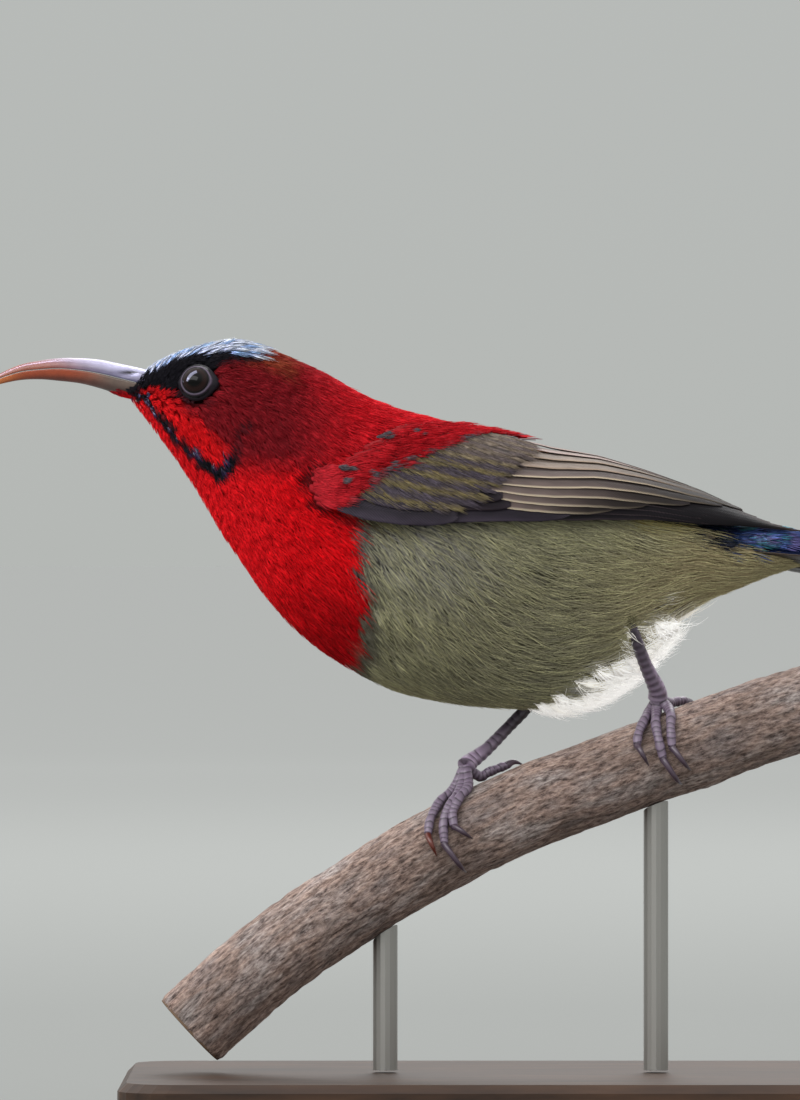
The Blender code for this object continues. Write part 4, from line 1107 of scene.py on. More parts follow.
def make_skin():
    """One skin under the coat, from the bill's base to the vent, with the coat's markings at half brightness:
    painted shade in the gaps between tufts.
    """
    s, t = grid_of(130, 80, 0.0, 1.0)
    points, normals = body_surface(s, t)
    depth = COAT_DEPTH * smoothstep(-0.004, 0.006, s)
    inner = points - normals * depth[..., None]
    colour, _ = markings(points, np.zeros(points.shape[:-1] + (2,)))
    bake = np.stack([0.02 + 0.94 * s, 0.02 + 0.94 * t / (2 * math.pi)], -1)
    material = feather_material("skin_down_painted_shade", 0.8)
    # The markings at half brightness: painted shade in the gaps between tufts.
    skin = strips_object("skin", inner[None], (colour * 0.5)[None], material, bake[None])
    settle(skin, "torso", "head", "neck", "torso")


# Flight feathers


def close_section(top, low):
    """Rings that run along the upper points and back along the lower ones."""
    return np.concatenate([top, low[:, ::-1]], 1)


def make_vanes(name, feathers, material, atlas_rows, slot):
    """One object from several flight feathers, each a dict of section arrays and colours."""
    bakes, barbs = [], []
    cell = 1.0 / atlas_rows
    for index, feather in enumerate(feathers):
        row, column = divmod(index, atlas_rows)
        lateral = feather["lateral"]
        u = np.linspace(0, 1, len(lateral))[:, None] * np.ones((1, lateral.shape[1]))
        v = lateral / (np.abs(lateral).max() + 1e-9) * 0.5 + 0.5
        bakes.append(np.stack([(column + 0.06 + 0.88 * v) * cell, (row + 0.05 + 0.9 * u) * cell], -1))
        barbs.append(feather["along"][:, None] - BARB_SLANT * np.abs(lateral))
    rings, shades = (np.array([feather[key] for feather in feathers]) for key in ("rings", "shade"))
    vanes = strips_object(name, rings, shades, material, np.array(bakes), {"Barb": np.array(barbs)})
    settle(vanes, slot, slot)


def feather_shade(rings, lateral, side, base, edge, tip, shaft, edge_width, fade):
    """Colours of a flight feather: ground that fades to the tip, a rim on its outer edge, painted shade on
    its inner web, tip and shaft.
    """
    count, around = lateral.shape
    u = np.linspace(0, 1, count)[:, None] * np.ones((1, around))
    v = lateral / np.abs(lateral).max(1, keepdims=True)
    mottle = 1 + 0.2 * wave_noise(rings * [0.25, 1, 1], 0.9, 23)
    mottle = mottle * (1 - fade * smoothstep(0.25, 0.85, u))
    shade = linear(base) * mottle[..., None]
    rim = smoothstep(edge_width, 1.0, v * side) * (1 - 0.85 * smoothstep(0.4, 0.95, u))
    shade = mix(shade, linear(edge), rim[..., None])
    # Painted shade: the web darkens away from its outer edge, under the feather that overlaps it.
    shade = shade * (1 - 0.45 * smoothstep(0.85, 0.0, v * side))[..., None]
    shade = mix(shade, linear(tip), smoothstep(0.9, 1.0, u)[..., None] * 0.8)
    return mix(shade, linear(shaft), np.exp(-((v / 0.06) ** 2))[..., None] * 0.7)


def wing_feather(side, root, tip, half, lift, tilt, point, colours, edge=None):
    """A feather on the wing's carrier from root to tip, both as (x, share up the arc).

    An edge gives the share of the feather's lower border at two places along the wing instead.
    """
    surface = wing_surface_of(side)
    u = np.linspace(0, 1, WING_FEATHER_RINGS)
    x = root[0] + (tip[0] - root[0]) * u
    share = root[1] + (tip[1] - root[1]) * u
    arc = wing_arc(x)
    if edge:
        share = edge[0] + (edge[1] - edge[0]) * (x - EDGE_AT[0]) / (EDGE_AT[1] - EDGE_AT[0])
        share = share + 0.8 * half / arc
    taper = point + (1 - point) * np.sqrt(np.clip((1 - u) * 5, 0, 1))
    outline = np.minimum(np.minimum(0.6 + 1.6 * u, 1.0), taper)
    wavy = 1 + EDGE_WAVES * (np.sin(u * 61 + root[0]) + np.sin(u * 37 + 2 * share))
    lateral = WING_MARKS * (half * outline * wavy)[:, None]
    shares = np.clip(share[:, None] + lateral / arc[:, None], -0.06, 0.99)
    points, normals = surface(x[:, None] * np.ones_like(shares), shares)
    low_tip = mix(1.0, 0.35, smoothstep(16, 29, x))[:, None]
    level = (lift + tilt * (0.5 - 0.5 * WING_MARKS)) * low_tip - 0.05 * WING_MARKS**2
    level = level + 0.05 * np.exp(-(((WING_MARKS + 0.25) / 0.1) ** 2))
    top = points + normals * level[..., None]
    thick = WING_VANE_THICK * (1 - 0.75 * WING_MARKS**4) * (1 - 0.5 * u[:, None])
    section = close_section(top, top - normals * thick[..., None])
    spread = close_section(lateral, lateral)
    run = np.hypot(tip[0] - root[0], (tip[1] - root[1]) * wing_arc(tip[0])) * u
    shade = feather_shade(section, spread, -1.0, *colours)
    return {"rings": section, "lateral": spread, "shade": shade, "along": run}


# Ground, rim, tip and shaft of each kind of wing feather, where its rim starts and how much it darkens
PRIMARY = ((32, 28, 33), (76, 66, 70), (70, 60, 58), (20, 17, 20), 0.86, 0.4)
SECONDARY = ((108, 94, 90), (236, 216, 188), (40, 34, 36), (30, 24, 26), 0.8, 0.85)
TERTIAL = ((142, 126, 114), (180, 158, 140), (60, 49, 46), (56, 43, 38), 0.72, 0.85)
# The upper tertials are lighter and pinker: partly their own colour, partly painted highlight where the
# wing's top faces the sky.
TOP_TERTIAL = ((156, 138, 130), (196, 174, 168), (76, 62, 56), (70, 56, 52), 0.6, 0.75)
GREATER = ((74, 66, 78), (130, 114, 64), (76, 68, 74), (44, 38, 46), 0.1, 0.25)
# The upper greater coverts are lighter and grey-pink: partly their own colour, partly painted highlight on
# the wing's top.
UPPER_GREATER = ((92, 82, 80), (124, 110, 92), (96, 84, 80), (54, 46, 44), 0.1, 0.25)
PRIMARY_COVERT = ((46, 38, 46), (64, 54, 58), (44, 37, 44), (22, 18, 24), 0.7, 0.25)
SLATE = ((62, 55, 66), (72, 64, 76), (60, 54, 62), (36, 32, 40), 0.8, 0.25)
MEDIAN = ((92, 80, 88), (156, 132, 76), (122, 90, 78), (52, 44, 50), 0.5, 0.25)

# Sections of a vane: places across it in half widths
WING_MARKS = np.array([-1.0, -0.75, -0.5, -0.25, -0.06, 0.0, 0.06, 0.25, 0.5, 0.75, 1.0])
TAIL_MARKS = np.array([-1.0, -0.75, -0.5, -0.3, -0.06, 0.0, 0.06, 0.25, 0.5, 0.75, 1.0])
BARB_SPACING, BARB_SLANT = 0.4, 1.35
WING_FEATHER_RINGS = 26
WING_VANE_THICK = 0.14
EDGE_WAVES = 0.012
WING_FLOW = (1.0, 0.0, -0.22)
PRIMARY_TIPS = (37.2, 36.6, 35.6, 34.3, 32.8, 31.2, 29.6)
EDGE_AT = (0.6, 12.2)  # x at which the shares of secondaries' and tertials' edges are given
GREATER_SHARE = (0.13, 0.09)
GREATER_SLOPE = 0.004
GREATER_TIPS = [(0, -5.5), (1, -2.6), (2, -0.8), (3, 0.7), (7, 4.2)]
SECONDARY_EDGES = [  # shares of the edge at the two places, x of the tip
    (0.10, 0.03, 14.0),
    (0.153, 0.107, 18.0),
    (0.205, 0.206, 23.0),
    (0.262, 0.32, 27.0),
    (0.337, 0.45, 29.5),
]
TERTIAL_EDGES = [(0.42, 0.57, 29.4), (0.52, 0.70, 28.2), (0.64, 0.82, 27.0), (0.78, 0.93, 23.0)]
# Feathers that lie alone: root and tip as (x, share), half width, lift, tilt, bluntness and colours
SINGLE_FEATHERS = [
    ((-10.0, 0.06), (8.3, 0.03), 0.95, 0.14, 0.24, 0.25, SLATE),
    ((-10.5, 0.15), (1.2, 0.125), 1.1, 0.26, 0.28, 0.4, PRIMARY_COVERT),
    ((-9.5, 0.21), (0.2, 0.185), 1.2, 0.36, 0.28, 0.4, PRIMARY_COVERT),
    ((-19.8, 0.07), (-5.2, 0.045), 1.25, 0.5, 0.3, 0.35, SLATE),
    ((-17.0, 0.135), (-7.5, 0.11), 0.9, 0.56, 0.3, 0.4, SLATE),
]
# Upper and lower edge of the red at the wing's bend, and the top of the arm under it, as (x, share)
WING_RED_TOP = [
    (-23.8, 0.15),
    (-23.5, 0.19),
    (-23.1, 0.215),
    (-21.3, 0.265),
    (-19.1, 0.32),
    (-17.0, 0.43),
    (-12.2, 0.64),
    (-6.1, 0.82),
    (0.0, 0.99),
]
WING_RED_LOW = [
    (-23.8, 0.15),
    (-23.5, 0.10),
    (-22.9, 0.06),
    (-21.3, 0.045),
    (-20.0, 0.075),
    (-18.6, 0.15),
    (-15.7, 0.26),
    (-12.8, 0.33),
    (-11.7, 0.39),
    (-7.5, 0.55),
    (-1.8, 0.83),
    (0.6, 0.95),
]
CORE_TOP = [(-18.5, 0.29), (-12.2, 0.54), (-6.1, 0.74), (0.0, 0.92), (3.5, 0.97)]
WING_SPOTS = [(347, 471), (374, 475), (394, 469), (409, 463), (349, 482), (417, 439), (386, 441)]  # pixels
# Ground, rim, tip and shaft of the tail's feathers, where their rim starts and how much they darken
RECTRIX = ((18, 18, 30), (26, 44, 92), (24, 26, 48), (12, 12, 16), 0.55, 0.2)
CENTRAL_RECTRIX = ((20, 24, 48), (26, 60, 120), (24, 30, 60), (12, 12, 16), 0.55, 0.2)
OUTER_RECTRIX = ((66, 56, 52), (96, 84, 76), (110, 98, 86), (30, 24, 22), 0.8, 0.2)


def wing_feathers(side):
    """One wing's flight feathers and coverts, from the primaries up."""
    rows = []
    for k, tip_x in enumerate(PRIMARY_TIPS):
        root, tip = (2.0, 0.05 + 0.045 * k), (tip_x, 0.08 + 0.12 * k)
        rows.append((root, tip, 1.45, -0.18 + 0.03 * k, 0.16, 0.2, PRIMARY))
    for k, (near, far, tip_x) in enumerate(SECONDARY_EDGES):
        rows.append(((-3.0, 0.0), (tip_x, 0.0), 1.5, 0.06 + 0.05 * k, 0.34, 0.25, SECONDARY, (near, far)))
    for k, (near, far, tip_x) in enumerate(TERTIAL_EDGES):
        colours = TERTIAL if k < 2 else TOP_TERTIAL
        rows.append(((k, 0.0), (tip_x, 0.0), 1.6, 0.28 + 0.05 * k, 0.34, 0.3, colours, (near, far)))
    rows += SINGLE_FEATHERS
    for k in range(8):
        share = GREATER_SHARE[0] + GREATER_SHARE[1] * k
        root, tip = (-15.5 + 1.8 * k, share + 0.08), (follow(k, GREATER_TIPS), share)
        colours = GREATER if k < 4 else UPPER_GREATER
        rows.append((root, tip, 1.45, 0.44 + 0.01 * k, 0.34, 0.35, colours))
    for k in range(8):
        share = 0.20 + 0.078 * k
        root, tip = (-18.5 + 1.8 * k, share + 0.04), (-11.8 + 1.5 * k, share + 0.01)
        rows.append((root, tip, 1.25, 0.42 + 0.01 * k, 0.2, 0.48, MEDIAN))
    return [wing_feather(side, *row) for row in rows]


def lesser_roots(rows, step):
    """Staggered roots on the wing at these x, a share of the arc apart."""
    x, share = np.meshgrid(rows, np.arange(-0.05, 1.0, step), indexing="ij")
    x = x + 0.4 * (np.arange(share.shape[1]) % 2)[None] + rng.normal(0, 0.14, x.shape)
    share = share + rng.normal(0, 0.01, share.shape)
    return x.ravel(), share.ravel()


def make_wings():
    """Both wings: tiers of flight feathers, then small coverts, loose barbs, spots and the arm."""
    vanes = vane_material("vane_brown", 0.5)
    small = feather_material("feather_lesser", 0.7)
    for name, side in SIDES.items():
        make_vanes(f"wing_{name}_feathers", wing_feathers(side), vanes, 7, f"wing_{name}")
        surface = wing_surface_of(side)
        make_lesser_coverts(name, surface, small)
        make_greater_barbs(name, surface, small)
        make_wing_spots(name, surface, small)
        make_wing_core(name, surface)


def add_wing_coat(kind, name, surface, x, share, direction, spec, colour, ends, material, bake_run=28):
    """Grows one patch of tufts on a wing, with its bake places from x and share."""
    bake_at = np.column_stack([0.05 + 0.9 * (x + 26) / bake_run, 0.05 + 0.9 * share.clip(0, 1)])
    grown = grow(surface, x, share, direction, spec, colour, ends, bake_at)
    add_coat(f"{kind}_{name}", grown, material, f"wing_{name}")


def make_lesser_coverts(name, surface, material):
    """Small red coverts at the wing's bend, which sink into the mantle by the shoulder; painted shade darkens
    the front rows, and a pinker painted highlight lies towards the front.
    """
    front = lesser_roots(np.arange(-24.5, -21.5, 0.45), 0.030)
    rear = lesser_roots(np.arange(-21.2, 1.5, 0.8), 0.044)
    x, share = (np.concatenate(pair) for pair in zip(front, rear))
    top_edge = follow(x, WING_RED_TOP) - np.abs(rng.normal(0, 0.03, len(x))) * smoothstep(-12, -16, x)
    keep = (share < top_edge) & (share > follow(x, WING_RED_LOW))
    x, share = x[keep], share[keep]
    n = len(x)
    from_edge = share - follow(x, WING_RED_LOW)
    red = smoothstep(-0.004, 0.016, from_edge + rng.normal(0, 0.006, n))[:, None]
    # Pinker towards the bend's front: a painted highlight on the rounded bend.
    front_highlight = smoothstep(-17, -23, x)[:, None]
    colour = mix(linear(SPOT_GREY), mix(linear(COVERT_RED), linear(COVERT_PINK_HIGHLIGHT), front_highlight), red)
    # Random tone, darkened on the front rows by painted shade along the bend's edge.
    bright = rng.normal(1, 0.06, (n, 1)).clip(0.8, 1.2) * np.interp(x, [-24.2, -23.3], [0.4, 1.0])[:, None]
    sunk = smoothstep(0.12, 0.0, follow(x, WING_RED_TOP) - share) * smoothstep(-12, -17, x)
    length = 3.0 * rng.uniform(0.85, 1.15, n)
    half = np.interp(x, [-24.2, -21.5], [0.6, 0.8])
    root = np.interp(x, [-23.8, -22.4, -20.6], [-0.7, 0.0, 0.45]) - 0.6 * sunk
    tip = np.interp(x, [-23.8, -22.4, -19.6], [0.5, 1.0, 1.3]) - 0.7 * sunk
    tones = {"leaf_drop": 0.12, "root_shade": 0.7, "contrast": 0.13}
    spec = tuft_spec(n, length, half, root, tip, 0.06, 12, 3, 0.13, 0.06, 0.03, **tones)
    direction = np.tile(WING_FLOW, (n, 1))
    colour = colour * bright
    add_wing_coat("lesser", name, surface, x, share, direction, spec, colour, colour * 1.3, material)


def make_greater_barbs(name, surface, material):
    """Loose barbs over the greater coverts: olive-yellow along each feather's border, slate above it."""
    x, share = np.meshgrid(np.arange(-18.5, 3.0, 0.85), np.arange(0.08, 0.9, 0.02), indexing="ij")
    x = (x + rng.normal(0, 0.25, x.shape)).ravel()
    share = (share + rng.normal(0, 0.004, share.shape)).ravel()
    row = (share + GREATER_SLOPE * (x + 4) - GREATER_SHARE[0] + 0.035) / GREATER_SHARE[1]
    keep = (x + 1.8 < follow(row, GREATER_TIPS)) & (row > 0.0) & (share < 0.88)
    keep &= share < follow(x, WING_RED_LOW) + 0.04
    x, share, row = x[keep], share[keep], row[keep]
    n = len(x)
    # Upper rows turn tan and grey-pink: partly their own colour, partly painted highlight on the wing's top.
    upper = smoothstep(3.4, 5.2, row)[:, None]
    place = row % 1
    yellow = (smoothstep(0.0, 0.2, place) * smoothstep(0.66, 0.3, place))[:, None]
    border = mix(linear(BARB_OLIVE), linear(BARB_TAN), upper)
    ground = mix(linear(BARB_SLATE), linear(BARB_GREY), upper)
    colour = mix(ground, border, yellow) * rng.normal(1, 0.06, (n, 1)).clip(0.8, 1.2)
    spec = tuft_spec(n, rng.uniform(2.6, 3.6, n), 0.3, 0.5, 0.9, 0.042, 6, 4, 0.14, 0.1, 0.03)
    direction = surface.point(x + 0.5, share - 0.012) - surface.point(x - 0.5, share + 0.012)
    add_wing_coat("greater", name, surface, x, share, direction, spec, colour, colour * 1.15, material, 30)


def make_wing_spots(name, surface, material):
    """Small grey tufts on the red of the wing's bend."""
    spots = np.repeat(np.array(WING_SPOTS, float), 3, axis=0)
    n = len(spots)
    spots = spots + rng.normal(0, 1, (n, 2)) * [2.6, 1.3]
    x = (spots[:, 0] - PX_ORIGIN[0]) / PX_PER_MM - 0.7
    share = wing_share(x, (PX_ORIGIN[1] - spots[:, 1]) / PX_PER_MM)
    tones = {"leaf_drop": 0.05, "root_shade": 0.6, "contrast": 0.15}
    spec = tuft_spec(n, 1.4, 0.34, 0.8, 1.32, 0.05, 8, 3, 0.12, 0.05, 0.02, **tones)
    grey = np.tile(linear(SPOT_GREY), (n, 1))
    direction = np.tile(WING_FLOW, (n, 1))
    add_wing_coat("spots", name, surface, x, share, direction, spec, grey, grey * 1.2, material)


def make_wing_core(name, surface):
    """The arm under the coverts, so that no gap shows between them, in darker copies of their red and slate:
    painted shade.
    """
    x = np.linspace(-17.2, 24.0, 40)
    low = np.interp(x, [-17.2, -15.5, -13.0], [0.12, 0.04, 0.0])
    top = follow(x, CORE_TOP)
    share = low[:, None] + (top - low)[:, None] * np.linspace(0, 1, 12)
    points, normals = surface(x[:, None] * np.ones_like(share), share)
    outer = np.interp(x, [-17.2, -15.5, -10, 0, 4, 24], [-0.2, 0.3, 0.35, 0.02, -0.5, -0.6])
    inner = np.interp(x, [-23.4, -20, 4, 24], [-0.4, -0.9, -1.0, -1.0])
    section = close_section(*(points + normals * depth[:, None, None] for depth in (outer, inner)))
    # Darker than the coverts above: painted shade in the gaps between them.
    shade = mix(linear(ARM_SHADE_RED), linear(ARM_SHADE_DARK), smoothstep(-16, -6, section[..., :1]))
    material = feather_material(f"wing_core_{name}", 0.8)
    settle(strips_object(f"wing_{name}_core", section[None], shade[None], material), f"wing_{name}")


def tail_axes():
    """Directions along the tail, to its left and up from it, twisted about its length."""
    level = np.array([0, -1.0, 0])
    rise = np.array([math.sin(TAIL_DROOP), 0, math.cos(TAIL_DROOP)])
    left = level * math.cos(TAIL_TWIST) + rise * math.sin(TAIL_TWIST)
    up = rise * math.cos(TAIL_TWIST) - level * math.sin(TAIL_TWIST)
    return np.array([math.cos(TAIL_DROOP), 0, -math.sin(TAIL_DROOP)]), left, up


def tail_place(reach, aside, above):
    """Points at reach along the tail, aside to the bird's left and above, from arrays of one shape."""
    along, left, up = tail_axes()
    root = np.array([TAIL_ROOT[0], 0, TAIL_ROOT[1]])
    return root + reach[..., None] * along + aside[..., None] * left + above[..., None] * up


def rectrix(index, side):
    """One tail feather on the bird's left (1) or right (-1)."""
    u = np.linspace(0, 1, 44)
    reach = RECTRIX_LENGTHS[index] * u
    fan = side * (index + 0.5) * RECTRIX_FAN
    half = RECTRIX_HALF_WIDTH * np.minimum(0.48 + 1.6 * u, 1.0)
    if index == 0:
        half = half * np.where(u < 0.5, 1.0, np.maximum(0.1, 1 - (u - 0.5) / 0.5 * 0.93))
    else:
        half = half * np.minimum(1.0, 0.12 + 0.88 * np.sqrt(np.clip((1 - u) * 6, 0, 1)))
    half = half * (1 + 0.03 * np.sin(u * 70 + index) + 0.02 * np.sin(u * 131))
    middle = side * (0.22 + RECTRIX_STEP * index) + reach * math.sin(fan)
    sag = -0.0011 * reach**2 * (0.35 if index else 0.5)
    level = 0.1 - RECTRIX_DROP * index + sag + (0.04 if side > 0 else 0)
    lateral = TAIL_MARKS * half[:, None]
    aside = middle[:, None] + side * lateral
    tuck = 0.11 * TAIL_MARKS - 0.04 * TAIL_MARKS**2 + 0.07 * np.exp(-((TAIL_MARKS / 0.09) ** 2))
    above = level[:, None] + tuck
    ahead = (reach * math.cos(fan))[:, None] * np.ones_like(aside)
    thick = 0.16 * (1 - 0.75 * TAIL_MARKS**4) * (1 - 0.5 * u[:, None])
    section = close_section(*(tail_place(ahead, aside, height) for height in (above, above - thick)))
    spread = close_section(lateral, lateral)
    colours = {0: CENTRAL_RECTRIX, 5: OUTER_RECTRIX}.get(index, RECTRIX)
    shade = feather_shade(section, spread, 1.0, *colours)
    return {"rings": section, "lateral": spread, "shade": shade, "along": reach}


def tail_root_size(reach, angle):
    """Half the width and the height of the tail's rounded root, which is lower on its underside."""
    reaches = [0, 4, 10, 20]
    low = np.interp(reach, reaches, [2.2, 1.9, 1.2, 0.45])
    high = np.interp(reach, reaches, [3.0, 2.9, 2.0, 0.45])
    return np.interp(reach, reaches, [3.75, 3.6, 3.3, 2.9]), np.where(np.cos(angle) > 0, high, low)


def tail_root_point(reach, angle):
    """A point of the tail's root: reach along it, and angle round it from the top to the bird's left."""
    radius, height = tail_root_size(reach, angle)
    return tail_place(reach, radius * np.sin(angle), height * np.cos(angle))


def tail_surface(reach, angle):
    """Points and outward normals of the tail's root."""
    radius, height = tail_root_size(reach, angle)
    _, left, up = tail_axes()
    out = (np.sin(angle) * height)[..., None] * left + (np.cos(angle) * radius)[..., None] * up
    return tail_root_point(reach, angle), unit(out)


tail_surface.point, tail_surface.steps = tail_root_point, (0.3, 0.03)


def make_tail_root():
    """The dark root under the coverts."""
    reach, angle = grid_of(24, 28, 0.5, 12)
    points, normals = tail_surface(reach, angle)
    depth = np.interp(reach, [0.5, 3, 8, 12], [1.5, 0.55, 0.5, 0.9])
    core = points - normals * depth[..., None]
    shade = np.broadcast_to(linear(TAIL_ROOT_BLUE), core.shape)
    material = feather_material("tail_root", 0.7)
    settle(strips_object("tail_core", core[None], shade[None], material), "tail")


def make_tail():
    """Twelve tail feathers, a dark root, and metallic blue-green coverts over it."""
    feathers = [rectrix(index, side) for index in range(5, -1, -1) for side in (1, -1)]
    make_vanes("tail_feathers", feathers, vane_material("vane_blue", 0.34, 0.35, 0.5), 4, "tail")
    make_tail_root()
    reach, angle = np.meshgrid(np.arange(-2.3, 9.5, 0.8), np.arange(-1.75, 1.76, 0.25), indexing="ij")
    reach = reach + 0.4 * (np.arange(angle.shape[1]) % 2) + rng.normal(0, 0.1, reach.shape)
    angle = angle + rng.normal(0, 0.03, angle.shape)
    keep = np.abs(angle) < np.interp(reach, [0, 9], [1.8, 1.0])
    reach, angle = reach[keep], angle[keep]
    n = len(reach)
    pick = rng.random((n, 1))
    ends = np.where(pick < 0.75, linear(COVERT_TEAL), linear(COVERT_VIOLET))
    ends = np.where(pick < 0.4, linear(COVERT_BLUE), ends) * rng.uniform(0.6, 1.3, (n, 1))
    length = np.interp(reach, [0, 9], [3.2, 5.5]) * rng.uniform(0.85, 1.15, n)
    root = np.interp(reach, [-1.5, 1.0], [-1.0, -0.3])
    tip = np.interp(reach, [-1.5, 1.0], [-0.1, 0.35])
    tones = {"root_shade": 0.5, "contrast": 0.25}
    spec = tuft_spec(n, length, 0.95, root, tip, 0.075, 13, 4, 0.05, 0.05, 0.03, **tones)
    bake_at = np.column_stack([0.1 + 0.8 * (reach + 2) / 12, 0.5 + angle / 4])
    ground = np.tile(linear(COVERT_ROOT), (n, 1))
    direction = np.tile(tail_axes()[0], (n, 1))
    grown = grow(tail_surface, reach, angle, direction, spec, ground, ends, bake_at)
    add_coat("tail_coverts", grown, feather_material("feather_blue", 0.32, 0.35, 0.5), "tail")


# Head details


def mandible(rows, upper):
    """Sections of one mandible from a blunt root in the head, and the heights of its gape line."""
    x, culmen, line, keel, half = (column[:, None] for column in rows.T)
    turn = np.linspace(0, math.pi, 30)[None]
    if upper:
        edge = line + BILL_GAP
        z = edge + np.maximum(culmen - line - BILL_GAP, 0.2) * np.sin(turn) ** 0.85
        near = ((x - NOSTRIL_AT[0]) / 1.3) ** 2 + ((z - NOSTRIL_AT[1]) / 0.36) ** 2
        y = half * np.cos(turn) * (1 - 0.28 * np.exp(-near * 1.2))
    else:
        edge = line - BILL_GAP
        z = edge - np.maximum(line - keel - BILL_GAP, 0.16) * np.sin(turn) ** 0.9
        y = 0.93 * half * np.cos(turn)
    y = np.concatenate([y, half * np.linspace(-1, 1, 8)[None, 1:-1] * 0.9], 1)
    z = np.concatenate([z, edge * np.ones((1, 6))], 1)
    points = np.stack([x * np.ones(y.shape), y, z], -1)
    root = points[:1] + np.array([2.2, 0, -0.6])
    return np.concatenate([root, points]), np.concatenate([line[:1], line])


def upper_horn(points, line):
    """Violet-grey horn with a painted highlight along the culmen, reddish along the cutting edge and at the
    tip, with painted shade in the nostril's slit.
    """
    x, z = points[..., 0], points[..., 2]
    # Paler towards the culmen: a painted highlight.
    top = smoothstep(0.3, 1.0, (z - line) / 1.4)
    colour = mix(linear(HORN_GREY), linear(HORN_HIGHLIGHT), top[..., None])
    colour = mix(colour, linear(HORN_TIP), (smoothstep(-46, -62, x) * 0.85)[..., None])
    colour = mix(colour, linear(HORN_EDGE), (smoothstep(-50, -56, x) * (1 - top) * 0.8)[..., None])
    # Painted shade in the nostril's slit.
    slit = ((x - NOSTRIL_AT[0]) / 1.3) ** 2 + ((z - NOSTRIL_AT[1]) / 0.2) ** 2
    return mix(colour, linear(NOSTRIL_SHADE), np.exp(-(slit**2))[..., None])


def lower_horn(points, line):
    """Brown horn that turns orange towards the tip, dark along its keel."""
    x, z = points[..., 0], points[..., 2]
    colour = mix(linear(LOWER_ROOT), linear(LOWER_ORANGE), smoothstep(-46.8, -52.8, x)[..., None])
    colour = mix(colour, linear(LOWER_TIP), smoothstep(-57, -64, x)[..., None])
    return mix(colour, linear(KEEL_DARK), 0.6 * smoothstep(0.5, 1.3, np.abs(z - line))[..., None])


def make_bill():
    """Both mandibles, smooth and finely sectioned."""
    gloss = {"Specular_IOR_Level": 0.35, "Coat_Weight": 0.1, "Coat_Roughness": 0.15}
    horn, tree, shader, source = new_material("horn", 0.26, **gloss)
    grain = noise_node(tree, 900, 5)
    tint(tree, shader, source, ramp_node(tree, grain, [(0.3, (190, 186, 190)), (0.75, (255, 255, 255))]), 0.5)
    bump(tree, shader, grain, 0.05, 0.00005)
    rows = spline(BILL, 90)
    for name, upper, paint in (("bill_upper", True, upper_horn), ("bill_lower", False, lower_horn)):
        points, line = mandible(rows, upper)
        settle(strips_object(name + "_horn", points[None], paint(points, line)[None], horn), name, name)


def eyeball(centre, axis, across, up):
    """Points and colours of a dark eye with a cornea that bulges along its axis."""
    polar, turn = grid_of(40, 64, 0.02, math.pi - 0.02)
    spoke = np.cos(turn)[..., None] * across + np.sin(turn)[..., None] * up
    radius = EYE_RADIUS + 0.16 * np.exp(-((polar / 0.6) ** 2))
    points = centre + (radius * np.cos(polar))[..., None] * axis + (radius * np.sin(polar))[..., None] * spoke
    from_axis = (EYE_RADIUS * np.sin(polar))[..., None]
    iris = mix(linear(PUPIL), linear(IRIS), smoothstep(0.85, 1.1, from_axis))
    return points, mix(iris, linear(EYE_RIM), smoothstep(1.35, 1.6, from_axis))


def eyelids(centre, axis, across, up):
    """Points and colours of the bare, wrinkled rim round an eye, longer at its corners."""
    turn = np.linspace(0, 2 * math.pi, LID_SECTIONS, endpoint=False)[:, None]
    wrinkle = 1 + 0.07 * np.sin(turn * 17) + 0.05 * np.sin(turn * 31 + 1)
    back = 0.0 if across[0] > 0 else math.pi
    away = np.abs((turn - back + math.pi) % (2 * math.pi) - math.pi)
    corner = 0.6 * np.exp(-((away / 0.36) ** 2)) + 0.3 * np.exp(-(((math.pi - away) / 0.3) ** 2))
    reach = LID_INNER + (LID_REACH - LID_INNER) * (1 + corner)
    shell = np.sqrt(np.clip(EYE_RADIUS**2 - np.minimum(reach, EYE_APERTURE) ** 2, 0, None))
    lift = shell - 0.35 * np.maximum(reach - EYE_APERTURE, 0) + LID_ABOVE * wrinkle
    spoke = np.cos(turn)[..., None] * across + np.sin(turn)[..., None] * up
    points = centre + reach[..., None] * spoke + lift[..., None] * axis
    ring_share = np.exp(-(((LID_REACH - LID_RING) / 0.065) ** 2)) * (1 - 0.3 * corner)
    return points, mix(linear(LID_DARK), linear(LID_LIGHT), ring_share[..., None])


def make_eyes(eyes):
    """Dark wet eyes and their lids."""
    wet = new_material("eye_wet", 0.02, Specular_IOR_Level=0.17)[0]
    lid_skin, tree, shader, _ = new_material("lid_skin", 0.55, Specular_IOR_Level=0.2)
    bump(tree, shader, noise_node(tree, 2400, 4), 0.4, 0.0001)
    for name, (centre, axis) in eyes.items():
        across = unit(np.cross(axis, np.array([0, 0, 1.0])))
        up = np.cross(across, axis)
        points, colour = eyeball(centre, axis, across, up)
        eye = strips_object(f"eyeball_{name}", points[None], colour[None], wet)
        settle(eye, f"eye_{name}", f"eye_{name}")
        points, colour = eyelids(centre, axis, across, up)
        faces = ring_faces(*points.shape[:2])
        lid = mesh_object(f"lids_{name}", points.reshape(-1, 3), faces, colour.reshape(-1, 3), lid_skin)
        face_out(lid)
        settle(lid, "head")


def ring_faces(rings, around):
    """Quads of a closed ring of sections."""
    i, j = np.meshgrid(np.arange(rings), np.arange(around), indexing="ij")
    i, j = i.ravel(), j.ravel()
    a, b = (i + 1) % rings, (j + 1) % around
    return [np.stack([i * around + j, i * around + b, a * around + b, a * around + j], -1)]


